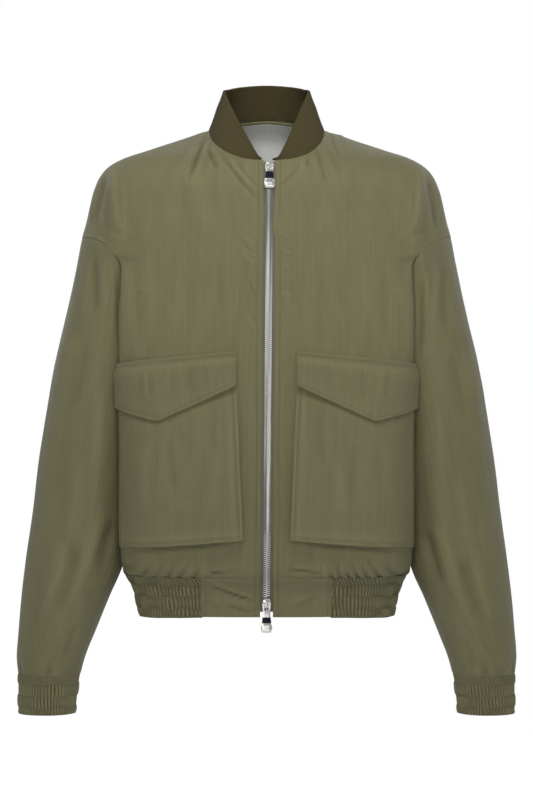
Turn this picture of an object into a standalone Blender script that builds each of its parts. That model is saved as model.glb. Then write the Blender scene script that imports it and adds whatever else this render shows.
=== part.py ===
"""Bomber jacket, filled out as it is worn, with no wearer inside.

+Z is up, the front faces -Y and the wearer's right sleeve is at -X. The origin is midway between
the two side neck points, where shoulders carry the jacket. Sizes are in metres.

The body's form is a net of rows, each a quarter of a rounded level section. Panels, pockets,
flaps, hem and zip are cut from that net, and each wall is a sheet extruded to its inner face.
"""

import math
from collections import namedtuple

import bmesh
import bpy
import numpy as np

# ------------------------------------------------------------------ sizes

CLOTH = 0.0015  # shell cloth
HEM_CLOTH = 0.0022  # folded cloth of the hem, the cuffs and the pocket flaps
RIB = 0.0024  # collar, two layers of rib knit
TAPE = 0.0010  # zip tape, neck tape and lining
SEAM = 0.0004  # gap between two pieces that are sewn together
LAY = 0.0004  # gap between a piece and what it lies on

HEM_SEAM = -0.5745  # height where the body meets the hem band
HEM_EDGE = -0.6250
UNDERARM = -0.2120
ARMHOLE_TOP = -0.1400
CUFF_SEAM = -0.7040
CUFF_EDGE = -0.7550

NECK_HALF_WIDTH = 0.0755
Neck = namedtuple("Neck", "depth height")
NECK_FRONT = Neck(0.1000, -0.0470)
NECK_BACK = Neck(0.0720, -0.0060)
NECK_DROP = 1.1  # exponent of the neck seam's curve from the front
NECK_PLAN = 2.5  # exponent of its curve from above
NECK_CORNER = 0.03  # the cosine of the turn at which it stops beside the shoulder seam
BACK_RISE = 0.0230  # how far the cloth rises again towards the back of the neck
BACK_RISE_DEPTH = 0.0700
BACK_RISE_WIDTH = 0.1500
BACK_RISE_HEIGHT = 0.1300
EDGE_TURN = 0.52  # share of its depth at which a section turns to its side

# Half the width of the body at each height; above ARMHOLE_TOP this is the shoulder seam.
OutlineRow = namedtuple("OutlineRow", "height half_width squareness")
OUTLINE = (
    OutlineRow(-0.6270, 0.1648, 3.0),
    OutlineRow(-0.6100, 0.1688, 3.0),
    OutlineRow(-0.5970, 0.1716, 3.0),
    OutlineRow(-0.5840, 0.1775, 3.0),
    OutlineRow(-0.5730, 0.1850, 3.1),
    OutlineRow(-0.5600, 0.1898, 3.3),
    OutlineRow(-0.5400, 0.1915, 3.5),
    OutlineRow(-0.4800, 0.1920, 3.6),
    OutlineRow(-0.3800, 0.1935, 3.6),
    OutlineRow(-0.2800, 0.2010, 4.2),
    OutlineRow(-0.2300, 0.2090, 4.4),
    OutlineRow(-0.1950, 0.2185, 3.4),
    OutlineRow(-0.1830, 0.2225, 2.8),
    OutlineRow(-0.1720, 0.2300, 2.4),
    OutlineRow(-0.1650, 0.2400, 2.35),
    OutlineRow(-0.1400, 0.2392, 2.4),
    OutlineRow(-0.1240, 0.2347, 2.5),
    OutlineRow(-0.1030, 0.2295, 2.6),
    OutlineRow(-0.0770, 0.2230, 2.6),
    OutlineRow(-0.0610, 0.2160, 2.5),
    OutlineRow(-0.0510, 0.2080, 2.4),
    OutlineRow(-0.0445, 0.1995, 2.3),
    OutlineRow(-0.0378, 0.1860, 2.3),
    OutlineRow(-0.0262, 0.1515, 2.2),
    OutlineRow(-0.0130, 0.1120, 2.2),
    OutlineRow(0.0000, NECK_HALF_WIDTH, 2.2),
)

# Depth of the centre front and centre back lines.
CentrePoint = namedtuple("CentrePoint", "height depth")
CENTRE_FRONT = (
    CentrePoint(-0.6270, 0.1010),
    CentrePoint(-0.6050, 0.1050),
    CentrePoint(-0.5840, 0.1100),
    CentrePoint(-0.5650, 0.1210),
    CentrePoint(-0.5400, 0.1290),
    CentrePoint(-0.4800, 0.1345),
    CentrePoint(-0.3800, 0.1350),
    CentrePoint(-0.2800, 0.1330),
    CentrePoint(-0.2000, 0.1285),
    CentrePoint(-0.1400, 0.1225),
    CentrePoint(-0.0950, 0.1150),
    CentrePoint(-0.0700, 0.1095),
    CentrePoint(-0.0560, 0.1045),
    CentrePoint(NECK_FRONT.height, NECK_FRONT.depth),
)
CENTRE_BACK = (
    CentrePoint(-0.6270, 0.1010),
    CentrePoint(-0.6050, 0.1050),
    CentrePoint(-0.5840, 0.1105),
    CentrePoint(-0.5650, 0.1220),
    CentrePoint(-0.5400, 0.1310),
    CentrePoint(-0.4800, 0.1370),
    CentrePoint(-0.3800, 0.1410),
    CentrePoint(-0.2800, 0.1440),
    CentrePoint(-0.2000, 0.1450),
    CentrePoint(-0.1300, 0.1420),
    CentrePoint(-0.0800, 0.1320),
    CentrePoint(-0.0450, 0.1165),
    CentrePoint(-0.0200, 0.0950),
    CentrePoint(NECK_BACK.height, NECK_BACK.depth),
)

# One row for each ring of the sleeve: where it meets the overarm line and the underarm line.
SleeveRing = namedtuple(
    "SleeveRing", "over_out over_height under_out under_height middle half_depth"
)
SLEEVE_RINGS = (
    SleeveRing(0.2392, ARMHOLE_TOP, 0.1520, UNDERARM, 0.0045, 0.0905),
    SleeveRing(0.2492, -0.1900, 0.1500, -0.2500, 0.0045, 0.0870),
    SleeveRing(0.2614, -0.2450, 0.1520, -0.2920, 0.0050, 0.0830),
    SleeveRing(0.2755, -0.3050, 0.1560, -0.3380, 0.0055, 0.0785),
    SleeveRing(0.2862, -0.3650, 0.1620, -0.3890, 0.0050, 0.0740),
    SleeveRing(0.2962, -0.4300, 0.1690, -0.4450, 0.0030, 0.0700),
    SleeveRing(0.3037, -0.4950, 0.1765, -0.5040, 0.0000, 0.0665),
    SleeveRing(0.3122, -0.5550, 0.1850, -0.5600, -0.0035, 0.0630),
    SleeveRing(0.3180, -0.6050, 0.2045, -0.6070, -0.0070, 0.0580),
    SleeveRing(0.3212, -0.6450, 0.2205, -0.6460, -0.0100, 0.0530),
    SleeveRing(0.3235, -0.6800, 0.2340, -0.6800, -0.0120, 0.0480),
    SleeveRing(0.3215, CUFF_SEAM, 0.2408, CUFF_SEAM, -0.0130, 0.0420),
    SleeveRing(0.3215, -0.7200, 0.2435, -0.7200, -0.0132, 0.0395),
    SleeveRing(0.3215, CUFF_EDGE, 0.2475, CUFF_EDGE, -0.0135, 0.0385),
)
ARMHOLE_LIFT = 0.0110  # how far the armhole seam rises at its front and back
ARMHOLE_DEPTH = {"front": 0.0860, "back": 0.0930}
SLEEVE_CLEARANCE = 0.0055  # between the sleeve and the side that it presses in
CLEARANCE_REACH = 0.0320  # how far below the underarm it has that size
PRESS_SOFTNESS = 0.0045
PRESS_SLOPE = 0.2  # how fast the press lets go beside the sleeve
PRESS_FADE = 0.0150  # and how far below the armhole's front it has its softness
FOLD_SOFTNESS = 40  # times that the net's rows are smoothed below the armhole
FOLD_FADE = 0.0300
SIDE_FADE = 0.25  # share of a row over which the smoothing fades towards the side
PANEL_LEAN_FROM, PANEL_LEAN_WIDTH = 0.3, 0.4  # how alike the sleeve and the panel lean there
PIT_GAP = 0.0006  # extra room at the armhole seam where the sleeve turns back on the body
ARMHOLE_REACH = 2.5  # rings of the sleeve that the armhole seam's shape reaches
CUFF_PLACE = 11  # the sleeve ring at the cuff's seam
SIDES = {"right": -1, "left": 1}  # the wearer's right is at -X

# Soft ridges in the body, in front and behind, from one place to another on it.
Ridge = namedtuple("Ridge", "side out height end_out end_height half_width lift")
RIDGES = (
    Ridge("front", 0.1950, -0.0450, 0.1850, -0.1650, 0.0180, 0.0045),
    Ridge("front", 0.0950, -0.0450, 0.0700, -0.1500, 0.0240, 0.0022),
    Ridge("back", 0.1950, -0.0500, 0.1750, -0.1560, 0.0200, 0.0045),
    Ridge("back", 0.1150, -0.0900, 0.0600, -0.3300, 0.0300, 0.0030),
    Ridge("back", 0.0900, -0.3800, 0.1300, -0.5300, 0.0280, 0.0028),
)
RIDGE_FADE = 0.25  # share of a row over which they fade at the side and the armhole
RIDGE_RISE = 1.6  # how fast a ridge rises from its ends
# Soft ridges down a sleeve: turn in degrees from the overarm line, 90 in front.
SleeveRidge = namedtuple("SleeveRidge", "turn end_turn start end half_turn lift")
SLEEVE_RIDGES = (
    SleeveRidge(30.0, 58.0, 0.6, 7.5, 24.0, 0.0026),
    SleeveRidge(112.0, 95.0, 2.0, 10.5, 24.0, 0.0024),
    SleeveRidge(-45.0, -70.0, 0.8, 8.0, 24.0, 0.0028),
    SleeveRidge(-115.0, -95.0, 2.5, 10.0, 24.0, 0.0024),
)

# Hem and cuffs: gathers stand out between the rows of stitching.
HEM_WAVE = 0.0014
CUFF_WAVE = 0.0012
GatherRow = namedtuple("GatherRow", "down share")
GATHER_ROWS = (
    GatherRow(0.00, 0.35),
    GatherRow(0.22, 0.85),
    GatherRow(0.45, 1.00),
    GatherRow(0.72, 1.00),
    GatherRow(1.00, 0.70),
)
TAB_INNER = 0.0080  # the plain tabs at the front of the hem, along it from the middle
TAB_OUTER = 0.0815
TAB_STAND = 0.0004
TAB_COLUMNS, TAB_ROWS = 6, 4

# Collar: a rib band that tapers towards the zip. One row for each place round the neck.
CollarPlace = namedtuple("CollarPlace", "turn out depth height")
COLLAR_TOP = (
    CollarPlace(0.0, 0.0070, -0.1010, -0.0425),
    CollarPlace(30.0, 0.0245, -0.0700, -0.0080),
    CollarPlace(60.0, 0.0450, -0.0330, 0.0310),
    CollarPlace(80.0, 0.0545, -0.0120, 0.0490),
    CollarPlace(90.0, 0.0560, 0.0020, 0.0520),
    CollarPlace(120.0, 0.0495, 0.0290, 0.0572),
    CollarPlace(150.0, 0.0285, 0.0500, 0.0628),
    CollarPlace(180.0, 0.0000, 0.0570, 0.0650),
    CollarPlace(210.0, -0.0285, 0.0500, 0.0628),
)
COLLAR_ROWS = 3
COLLAR_START = 5.0

# Inside the back of the neck.
FACING_EDGE = -0.0140
LINING_ROWS = 5
LINING_REACH = 0.80  # of the way from the middle to the shoulder seam

# Pockets and flaps. Distances run along the panel from the middle of the front.
POCKET_TOP, POCKET_BOTTOM_INNER, POCKET_BOTTOM_OUTER = -0.3130, -0.5230, -0.5360
POCKET_INNER_TOP, POCKET_INNER_BOTTOM = 0.0385, 0.0290
POCKET_DEPTH_TOP, POCKET_DEPTH_BOTTOM, POCKET_DEPTH_OUTER = 0.0035, 0.0150, 0.0045
POCKET_EDGE_FROM, POCKET_EDGE_WIDTH = 0.45, 0.50  # shares over which it sinks to its outer edge
POCKET_ROWS = 7
GUSSET_SHARE = 0.010  # of the pocket's height, that its top and bottom walls take
GUSSET = 0.0020  # how far the pocket's side walls lean in
FLAP_TOP_INNER, FLAP_TOP_OUTER = -0.2890, -0.3060
FLAP_INNER, FLAP_INNER_BOTTOM = 0.0375, -0.3330
FLAP_POINT, FLAP_POINT_HEIGHT = 0.1330, -0.3770
FLAP_OUTER_BOTTOM = -0.3590
POCKET_COLUMNS = slice(2, 8)  # the panel's columns that lie under the pocket
FLAP_OVERHANG_TOP, FLAP_OVERHANG_BOTTOM = -0.0040, 0.0015
FLAP_SPRING = 0.0012  # how far its outer edge stands off
FLAP_SPRING_FROM = 0.60
FLAP_ROWS = 6
FLAP_RISE = 0.0130  # how far down it takes the flap to clear the pocket
EDGE_INSET = 0.0080  # from the body's edge to the pocket's and the flap's outer edge

# The zip and its two sliders.
ZIP_OPENING = 0.0075  # half the gap between the fronts
ZIP_DRIFT = 0.0038
ZIP_TAPE_WIDTH = 0.0140
ZIP_TOP, ZIP_BOTTOM = -0.0478, -0.6185
CHAIN_HALF_WIDTH = 0.0042
CHAIN_LIFT = 0.0013
CHAIN_TOP, CHAIN_BOTTOM = -0.0616, -0.5995
Slider = namedtuple("Slider", "name height lean pull_length")
SLIDERS = (
    Slider("top", -0.0535, 0.28, 0.0310),
    Slider("bottom", -0.6065, 0.0, 0.0370),
)
SLIDER_SIZE = (0.0100, 0.0058, 0.0120)
AXLE_LIFT = 0.0062  # from the front's surface to the pull's axle
PLATE_GAP = 0.0015  # from the axle's middle to the slider's plate
BRIDGE_GAP, BRIDGE_WIDTH, BRIDGE_BAR, BRIDGE_LEG = 0.0016, 0.0032, 0.0012, 0.0012
BRIDGE_HALF_LENGTH = 0.0036
PULL_THICKNESS = 0.0016
# Half the pull's width at distances below its axle, as shares of its length.
PullRow = namedtuple("PullRow", "below half_width")
PULL_ROWS = (
    PullRow(-0.026, 0.0042),
    PullRow(0.026, 0.0045),
    PullRow(0.235, 0.0046),
    PullRow(0.300, 0.0044),
    PullRow(0.760, 0.0053),
    PullRow(0.930, 0.0063),
    PullRow(1.000, 0.0045),
)
PULL_EYE = 0.0025  # half the eye's width

# ------------------------------------------------------------------ mesh resolution

HALF_COLUMNS = {"front": 13, "back": 11}
FOLD_COLUMN = {"front": 8, "back": 6}  # the column that runs down the body's edge
BODY_ROWS = 9
FLATNESS = 1e-5  # how far a flat face's corners may leave its plane
SAME_PLACE = 1e-5
ROW_MARGIN = 0.0010  # rows this near to the armhole's ends belong to it
ZIP_ROW_MARGIN = 0.0040  # least distance from a zip strip's end to its next row
ROW_CROWDING, SLEEVE_CROWDING = 1.25, 1.1  # how much closer rows are near their first ones
ROW_BEND = 3.0  # how late across a panel its rows bend towards the armhole's points
ARMHOLE_ROWS = 8
FRONT_SHOULDER_ROWS, FRONT_NECK_ROWS = 4, 6  # below and above the neck seam's lowest point
BACK_SHOULDER_ROWS, BACK_NECK_ROWS = 7, 5
SLEEVE_ROWS = 13
HEM_WAVES = 104
CUFF_WAVES = 43


# ------------------------------------------------------------------ curves


def spline(knots, values, at):
    """The smooth curve through the values at the rising knots, read at the places given."""
    knots = np.asarray(knots, float)
    values = np.asarray(values, float)
    slopes = np.gradient(values, knots)
    at = np.clip(at, knots[0], knots[-1])
    cell = np.clip(np.searchsorted(knots, at, side="right") - 1, 0, len(knots) - 2)
    width = knots[cell + 1] - knots[cell]
    t = (at - knots[cell]) / width
    return (
        (1 + 2 * t) * (1 - t) ** 2 * values[cell]
        + t * (1 - t) ** 2 * width * slopes[cell]
        + t * t * (3 - 2 * t) * values[cell + 1]
        + t * t * (t - 1) * width * slopes[cell + 1]
    )


def column(table, name, at, key="height"):
    """A named column of a table, read smoothly at heights between its rows."""
    rows = sorted(table, key=lambda row: getattr(row, key))
    return spline([getattr(r, key) for r in rows], [getattr(r, name) for r in rows], at)


def smooth_step(t):
    t = np.clip(t, 0, 1)
    return t * t * (3 - 2 * t)


def unit(vectors):
    return vectors / np.maximum(np.linalg.norm(vectors, axis=-1, keepdims=True), 1e-12)


def reach_along(line):
    steps = np.linalg.norm(np.diff(line, axis=0), axis=1)
    return np.concatenate([[0], np.cumsum(steps)])


def along(line, fractions):
    """Points at fractions of a polyline's length."""
    reach = reach_along(line)
    at = np.asarray(fractions) * reach[-1]
    return np.stack([np.interp(at, reach, line[:, k]) for k in range(3)], axis=-1)


# ------------------------------------------------------------------ the sleeve's form


def ring_between(place):
    """The sleeve ring at a place in the table, where 1.5 is halfway between rows 1 and 2."""
    rows = np.arange(len(SLEEVE_RINGS))
    return SleeveRing(
        *(spline(rows, [getattr(r, name) for r in SLEEVE_RINGS], place) for name in SleeveRing._fields)
    )


def ring_points(ring, angle):
    """Points of a sleeve ring: 0 on the overarm line, 90 degrees in front, 180 under the arm."""
    out = (ring.over_out + ring.under_out) / 2 + (ring.over_out - ring.under_out) / 2 * np.cos(angle)
    height = (ring.over_height + ring.under_height) / 2
    height = height + (ring.over_height - ring.under_height) / 2 * np.cos(angle)
    return np.stack([-out, ring.middle - ring.half_depth * np.sin(angle), height], axis=-1)


def armhole_height(angle):
    middle = (ARMHOLE_TOP + UNDERARM) / 2
    return middle + (ARMHOLE_TOP - middle) * np.cos(angle) + ARMHOLE_LIFT * np.sin(angle) ** 2


def armhole_depth(height, side):
    """How far the armhole seam stands from the middle of the side, at a height."""
    middle = (ARMHOLE_TOP + UNDERARM) / 2
    half = ARMHOLE_TOP - middle
    root = np.sqrt(np.maximum(half**2 - 4 * ARMHOLE_LIFT * (height - middle - ARMHOLE_LIFT), 0))
    cosine = np.clip((half - root) / (2 * ARMHOLE_LIFT), -1, 1)
    return ARMHOLE_DEPTH[side] * np.sqrt(1 - cosine**2)


# ------------------------------------------------------------------ the body's form


def pressed_in(points):
    """The body's side, pressed in by the sleeve that hangs against it."""
    x, y, z = points[..., 0], points[..., 1], points[..., 2]
    over = column(SLEEVE_RINGS, "over_out", z, "over_height")
    under = column(SLEEVE_RINGS, "under_out", z, "under_height")
    middle = column(SLEEVE_RINGS, "middle", z, "under_height")
    half_depth = column(SLEEVE_RINGS, "half_depth", z, "under_height")
    share = np.where(y < 0, -y / ARMHOLE_DEPTH["front"], y / ARMHOLE_DEPTH["back"])
    seam_height = armhole_height(math.pi - np.arcsin(np.clip(share, 0, 1)))
    below = np.clip((seam_height - z) / CLEARANCE_REACH, 0, 1)
    clear = SLEEVE_CLEARANCE * (1 - (1 - below) ** 2)
    share = np.clip(1 - ((y - middle) / (half_depth + clear)) ** 2, 0, 1)
    limit = (over + under) / 2 - ((over - under) / 2 + clear) * np.sqrt(share)
    beside = np.abs(y - middle) - half_depth - clear
    limit = np.where(share > 0, limit, limit + PRESS_SLOPE * beside)
    soft = PRESS_SOFTNESS * np.log1p(np.exp(-np.abs(-x - limit) / PRESS_SOFTNESS))
    top = armhole_height(math.pi / 2)
    out = np.minimum(-x, limit) - soft * smooth_step((top - z) / PRESS_FADE)
    return np.stack([-out, y, z], axis=-1)


def neck_plan(neck, height):
    """How far out and how deep the neck seam lies at a height above its lowest point."""
    turn = (height / neck.height) ** (1 / NECK_DROP)
    out = math.sqrt(1 - turn**2)
    return NECK_HALF_WIDTH * out, neck.depth * (1 - out**NECK_PLAN) ** (1 / NECK_PLAN)


def back_rise(x, y, height):
    near = smooth_step(y / BACK_RISE_DEPTH) * (1 - smooth_step(np.abs(x) / BACK_RISE_WIDTH))
    return BACK_RISE * near * smooth_step(1 + height / BACK_RISE_HEIGHT)


def section(height, side):
    """A level section of one half of the body, from its inner edge to the side or shoulder."""
    sign = 1 if side == "back" else -1
    neck = NECK_BACK if side == "back" else NECK_FRONT
    half_width = column(OUTLINE, "half_width", height)
    power = column(OUTLINE, "squareness", height)
    depth = column(CENTRE_BACK if side == "back" else CENTRE_FRONT, "depth", height)
    first, last = 0.0, math.pi / 2
    if height > neck.height:
        out, depth = neck_plan(neck, height)
        start = out / half_width
        depth /= (1 - start**power) ** (1 / power)
        first = math.asin(start ** (power / 2))
    if UNDERARM < height < ARMHOLE_TOP:
        last = math.acos((armhole_depth(height, side) / depth) ** (power / 2))
    angle = first + (last - first) * smooth_step(np.linspace(0, 1, 300))
    x = -half_width * np.abs(np.sin(angle)) ** (2 / power)
    y = sign * depth * np.abs(np.cos(angle)) ** (2 / power)
    points = np.stack([x, y, np.full_like(x, height)], axis=-1)
    if height < armhole_height(math.pi / 2):
        points = pressed_in(points)
    if side == "back":
        points[:, 2] += back_rise(x, y, height)
    return points


def ridge_lift(side, x, height):
    """How far the ridges of the front or the back stand out."""
    lift = np.zeros_like(x)
    for ridge in (r for r in RIDGES if r.side == side):
        down = (ridge.height - height) / (ridge.height - ridge.end_height)
        out = ridge.out + (ridge.end_out - ridge.out) * down
        near = smooth_step(1 - np.abs(np.abs(x) - out) / ridge.half_width)
        lift += ridge.lift * near * end_fade(down)
    return lift


def end_fade(down):
    """A ridge's height along it, from 0 at its ends to 1 in the middle."""
    return smooth_step(RIDGE_RISE * (1 - np.abs(2 * down - 1)))


def sleeve_lift(place, angle):
    """How far the ridges of a sleeve stand out."""
    lift = np.zeros_like(angle)
    for ridge in SLEEVE_RIDGES:
        down = (place - ridge.start) / (ridge.end - ridge.start)
        turn = math.radians(ridge.turn + (ridge.end_turn - ridge.turn) * down)
        away = np.degrees(np.arccos(np.cos(angle - turn)))
        near = smooth_step(1 - away / ridge.half_turn)
        lift += ridge.lift * near * end_fade(down)
    return lift


class Net:
    """One half of the front or the back as a dense net of points with outward normals. across is
    0 to 1 along a row from its inner edge; height names the row."""

    COLUMNS = 121

    def __init__(self, side):
        lower = np.linspace(OUTLINE[0].height, UNDERARM, 130)
        armhole = armhole_height(np.linspace(math.pi, 0, 60))
        neck = NECK_BACK if side == "back" else NECK_FRONT
        shoulder = shoulder_heights(neck.height, 70)
        around = neck_rows(neck, 50)
        self.heights = np.concatenate([lower, armhole[1:], shoulder[1:], around])
        fractions = np.linspace(0, 1, self.COLUMNS)
        self.points = np.stack([along(section(h, side), fractions) for h in self.heights])
        below = smooth_step((ARMHOLE_TOP - self.heights) / FOLD_FADE)
        for _ in range(FOLD_SOFTNESS):
            self.soften(below[:, None] * smooth_step((1 - fractions) / SIDE_FADE))
        lift = ridge_lift(side, self.points[..., 0], self.points[..., 2])
        lift *= smooth_step((1 - fractions) / RIDGE_FADE)
        self.points += self.outward(side) * lift[..., None]
        self.normals = self.outward(side)

    def outward(self, side):
        sign = -1 if side == "back" else 1
        across = np.gradient(self.points, axis=1)
        up = np.gradient(self.points, axis=0)
        return unit(sign * np.cross(up, across))

    def soften(self, shares):
        """Rounds the folds that run up the body once, by a share for each point."""
        bend = self.points[:, :-2] - 2 * self.points[:, 1:-1] + self.points[:, 2:]
        self.points[:, 1:-1] += shares[:, 1:-1, None] / 4 * bend

    def read(self, field, across, height):
        across, height = np.broadcast_arrays(np.asarray(across, float), np.asarray(height, float))
        y = np.interp(height, self.heights, np.arange(len(self.heights)))
        x = np.clip(across, 0, 1) * (self.COLUMNS - 1)
        j = np.clip(y.astype(int), 0, len(self.heights) - 2)
        i = np.clip(x.astype(int), 0, self.COLUMNS - 2)
        fy, fx = (y - j)[..., None], (x - i)[..., None]
        low = field[j, i] * (1 - fx) + field[j, i + 1] * fx
        high = field[j + 1, i] * (1 - fx) + field[j + 1, i + 1] * fx
        return low * (1 - fy) + high * fy

    def normal(self, across, height):
        return unit(self.read(self.normals, across, height))

    def at(self, across, height, lift=0.0):
        """Points of the net moved out along its normals by lift."""
        lifted = self.normal(across, height) * np.asarray(lift)[..., None]
        return self.read(self.points, across, height) + lifted

    def edge_fraction(self, height):
        """Where a row turns from the face of the body to its side."""
        row = self.read(self.points, np.linspace(0, 1, 200), height)
        depth = np.abs(row[:, 1]) / abs(row[0, 1])
        return 1 - np.interp(EDGE_TURN, depth[::-1], np.linspace(0, 1, 200))

    def length(self, height):
        lengths = np.linalg.norm(np.diff(self.points, axis=1), axis=2).sum(axis=1)
        return np.interp(height, self.heights, lengths)


def seam_heights(fractions):
    """Heights at fractions of the shoulder seam, from the armhole to the neck."""
    height = np.linspace(ARMHOLE_TOP, 0, 400)
    out = column(OUTLINE, "half_width", height)
    reach = reach_along(np.stack([out, height], axis=-1))
    return np.interp(fractions, reach / reach[-1], height)


def shoulder_heights(last, count):
    """Heights evenly up the shoulder seam, from the armhole to the last one."""
    fractions = np.linspace(0, 1, 400)
    reach = np.interp(last, seam_heights(fractions), fractions)
    heights = seam_heights(np.linspace(0, reach, count + 1))
    heights[-1] = last
    return heights


def neck_rows(neck, count):
    """Heights up the neck seam above its lowest point, evenly spaced round the neck."""
    cosine = np.cos(np.linspace(0, math.pi / 2, count + 1)[1:])
    return neck.height * np.maximum(cosine, NECK_CORNER) ** NECK_DROP


def share_normals(front, back):
    """Front and back walls meet edge to edge, so they lean the same way along their seams."""
    rows = (front.heights <= UNDERARM) | (front.heights >= ARMHOLE_TOP)
    mean = unit(front.normals[rows, -1] + back.normals[rows, -1])
    front.normals[rows, -1] = back.normals[rows, -1] = mean
    for net, neck in ((front, NECK_FRONT), (back, NECK_BACK)):
        centre = net.heights <= neck.height
        net.normals[centre, 0, 0] = 0
        net.normals[centre, 0] = unit(net.normals[centre, 0])


NETS = {"front": Net("front"), "back": Net("back")}
share_normals(NETS["front"], NETS["back"])


# ------------------------------------------------------------------ walls


def wall(name, outer, inner, tube=False, inside_rows=None, window=None, slit=None):
    """A closed wall: a grid moved to the outer points and extruded to the inner ones. The last
    column of a tube is its first. Of the inner rows between its ends only inside_rows stay, where
    given. A window is the (row, column) of a face that is left open, and a slit is the column
    after which the grid is two halves, joined where they touch."""
    rows, columns = outer.shape[:2]
    mesh = bmesh.new()
    row_of = mesh.verts.layers.int.new("row")
    column_of = mesh.verts.layers.int.new("column")
    inside = mesh.verts.layers.int.new("inside")
    bmesh.ops.create_grid(mesh, x_segments=columns - 1, y_segments=rows - 1, size=0.5)
    for vert in mesh.verts:
        vert[column_of] = round((vert.co.x + 0.5) * (columns - 1))
        vert[row_of] = round((vert.co.y + 0.5) * (rows - 1))
        vert.co = outer[vert[row_of], vert[column_of]]
    joined = ()
    if tube:
        joined = (0, columns - 1)
    if slit is not None:
        joined = (slit, slit + 1)
        between = [f for f in mesh.faces if {v[column_of] for v in f.verts} == set(joined)]
        bmesh.ops.delete(mesh, geom=between, context="FACES")
    ends = [v for v in mesh.verts if v[column_of] in joined]
    bmesh.ops.remove_doubles(mesh, verts=ends, dist=SAME_PLACE)
    if window:
        corners = {(window[0] + j, window[1] + i) for j in (0, 1) for i in (0, 1)}
        opened = [
            f for f in mesh.faces if {(v[row_of], v[column_of]) for v in f.verts} == corners
        ]
        bmesh.ops.delete(mesh, geom=opened, context="FACES_ONLY")
    if inside_rows is None:
        mesh.normal_update()
        bent = [f for f in mesh.faces if is_bent(f)]
        bmesh.ops.triangulate(mesh, faces=bent, quad_method="SHORT_EDGE")
    extruded = bmesh.ops.extrude_face_region(mesh, geom=mesh.faces[:])
    for vert in (v for v in extruded["geom"] if isinstance(v, bmesh.types.BMVert)):
        vert[inside] = 1
        vert.co = inner[vert[row_of], vert[column_of]]
    if inside_rows is not None:
        dropped = set(range(1, rows - 1)) - set(inside_rows)
        crossing = [
            e
            for e in mesh.edges
            if all(v[inside] and v[row_of] in dropped for v in e.verts)
            and e.verts[0][row_of] == e.verts[1][row_of]
        ]
        bmesh.ops.dissolve_edges(mesh, edges=crossing, use_verts=True)
    return finish(name, mesh)


def is_bent(face):
    """Whether a face's corners leave its plane, so that it needs an edge across it."""
    first = face.verts[0].co
    return any(abs((v.co - first).dot(face.normal)) > FLATNESS for v in face.verts)


def finish(name, mesh):
    """Makes a mesh an object, with its faces pointing out."""
    bmesh.ops.recalc_face_normals(mesh, faces=mesh.faces[:])
    if mesh.calc_volume(signed=True) < 0:
        bmesh.ops.reverse_faces(mesh, faces=mesh.faces[:])
    data = bpy.data.meshes.new(name)
    mesh.to_mesh(data)
    mesh.free()
    piece = bpy.data.objects.new(name, data)
    bpy.context.scene.collection.objects.link(piece)
    return piece


def drawn_back(points, columns=True, rows=True, by=SEAM / 2):
    """A grid of points with its border drawn back from the seams."""
    points = points.copy()
    if columns:
        points[:, 0] += unit(points[:, 1] - points[:, 0]) * by
        points[:, -1] += unit(points[:, -2] - points[:, -1]) * by
    if rows:
        points[0] += unit(points[1] - points[0]) * by
        points[-1] += unit(points[-2] - points[-1]) * by
    return points


def level_edge(outer, inner, row, height, thickness):
    """Makes one end of a wall level: its rim lies in one plane, square to the wall from above."""
    around = np.gradient(outer[row], axis=0)
    across = unit(inner[row] - outer[row])
    flat = unit(np.stack([around[:, 1], -around[:, 0], 0 * around[:, 0]], axis=-1))
    flat *= np.sign((flat * across).sum(axis=-1, keepdims=True))
    outer[row, :, 2] = height
    inner[row] = outer[row] + flat * thickness


def mirrored(points):
    return points[:, ::-1] * np.array([-1, 1, 1])


def both_halves(points):
    """A half's grid joined to its mirror image along the centre column."""
    return np.concatenate([points[:, ::-1], (points * np.array([-1, 1, 1]))[:, 1:]], axis=1)


# ------------------------------------------------------------------ panels


def panel_rows(side, at_side=False):
    """Heights of a panel's rows from the hem seam to the side neck point, at their inner end or
    at the side, where those beside the armhole end at points that are even round it."""
    lower = HEM_SEAM + (UNDERARM - HEM_SEAM) * np.linspace(0, 1, BODY_ROWS + 1) ** ROW_CROWDING
    armhole = np.linspace(UNDERARM, ARMHOLE_TOP, ARMHOLE_ROWS + 1)
    if at_side:
        armhole = armhole_height(np.linspace(math.pi, 0, ARMHOLE_ROWS + 1))
    neck, rows, around = (
        (NECK_BACK, BACK_SHOULDER_ROWS, BACK_NECK_ROWS)
        if side == "back"
        else (NECK_FRONT, FRONT_SHOULDER_ROWS, FRONT_NECK_ROWS)
    )
    shoulder = shoulder_heights(neck.height, rows)
    if side == "back":
        shoulder = np.concatenate([shoulder_heights(FACING_EDGE, rows), [neck.height]])
    return np.concatenate([lower, armhole[1:], shoulder[1:], neck_rows(neck, around)])


def panel_columns(side, height, start=0.0):
    """Fractions across a row at which a panel has its columns; one runs down the body's edge."""
    count, fold_column = HALF_COLUMNS[side], FOLD_COLUMN[side]
    net = NETS[side]
    even = fold_column / count
    rise = smooth_step((height - UNDERARM) / (armhole_height(math.pi / 2) - UNDERARM))
    fold = net.edge_fraction(min(height, UNDERARM)) * (1 - rise) + even * rise
    inner = start + (fold - start) * np.linspace(0, 1, fold_column + 1)
    outer = fold + (1 - fold) * np.linspace(0, 1, count - fold_column + 1)
    return np.concatenate([inner, outer[1:]])


def zip_line(height):
    """How far the zip lies to the +X side of the middle; it drifts as it goes up."""
    return ZIP_DRIFT * np.clip((height - HEM_EDGE) / (NECK_FRONT.height - HEM_EDGE), 0, 1)


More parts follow.
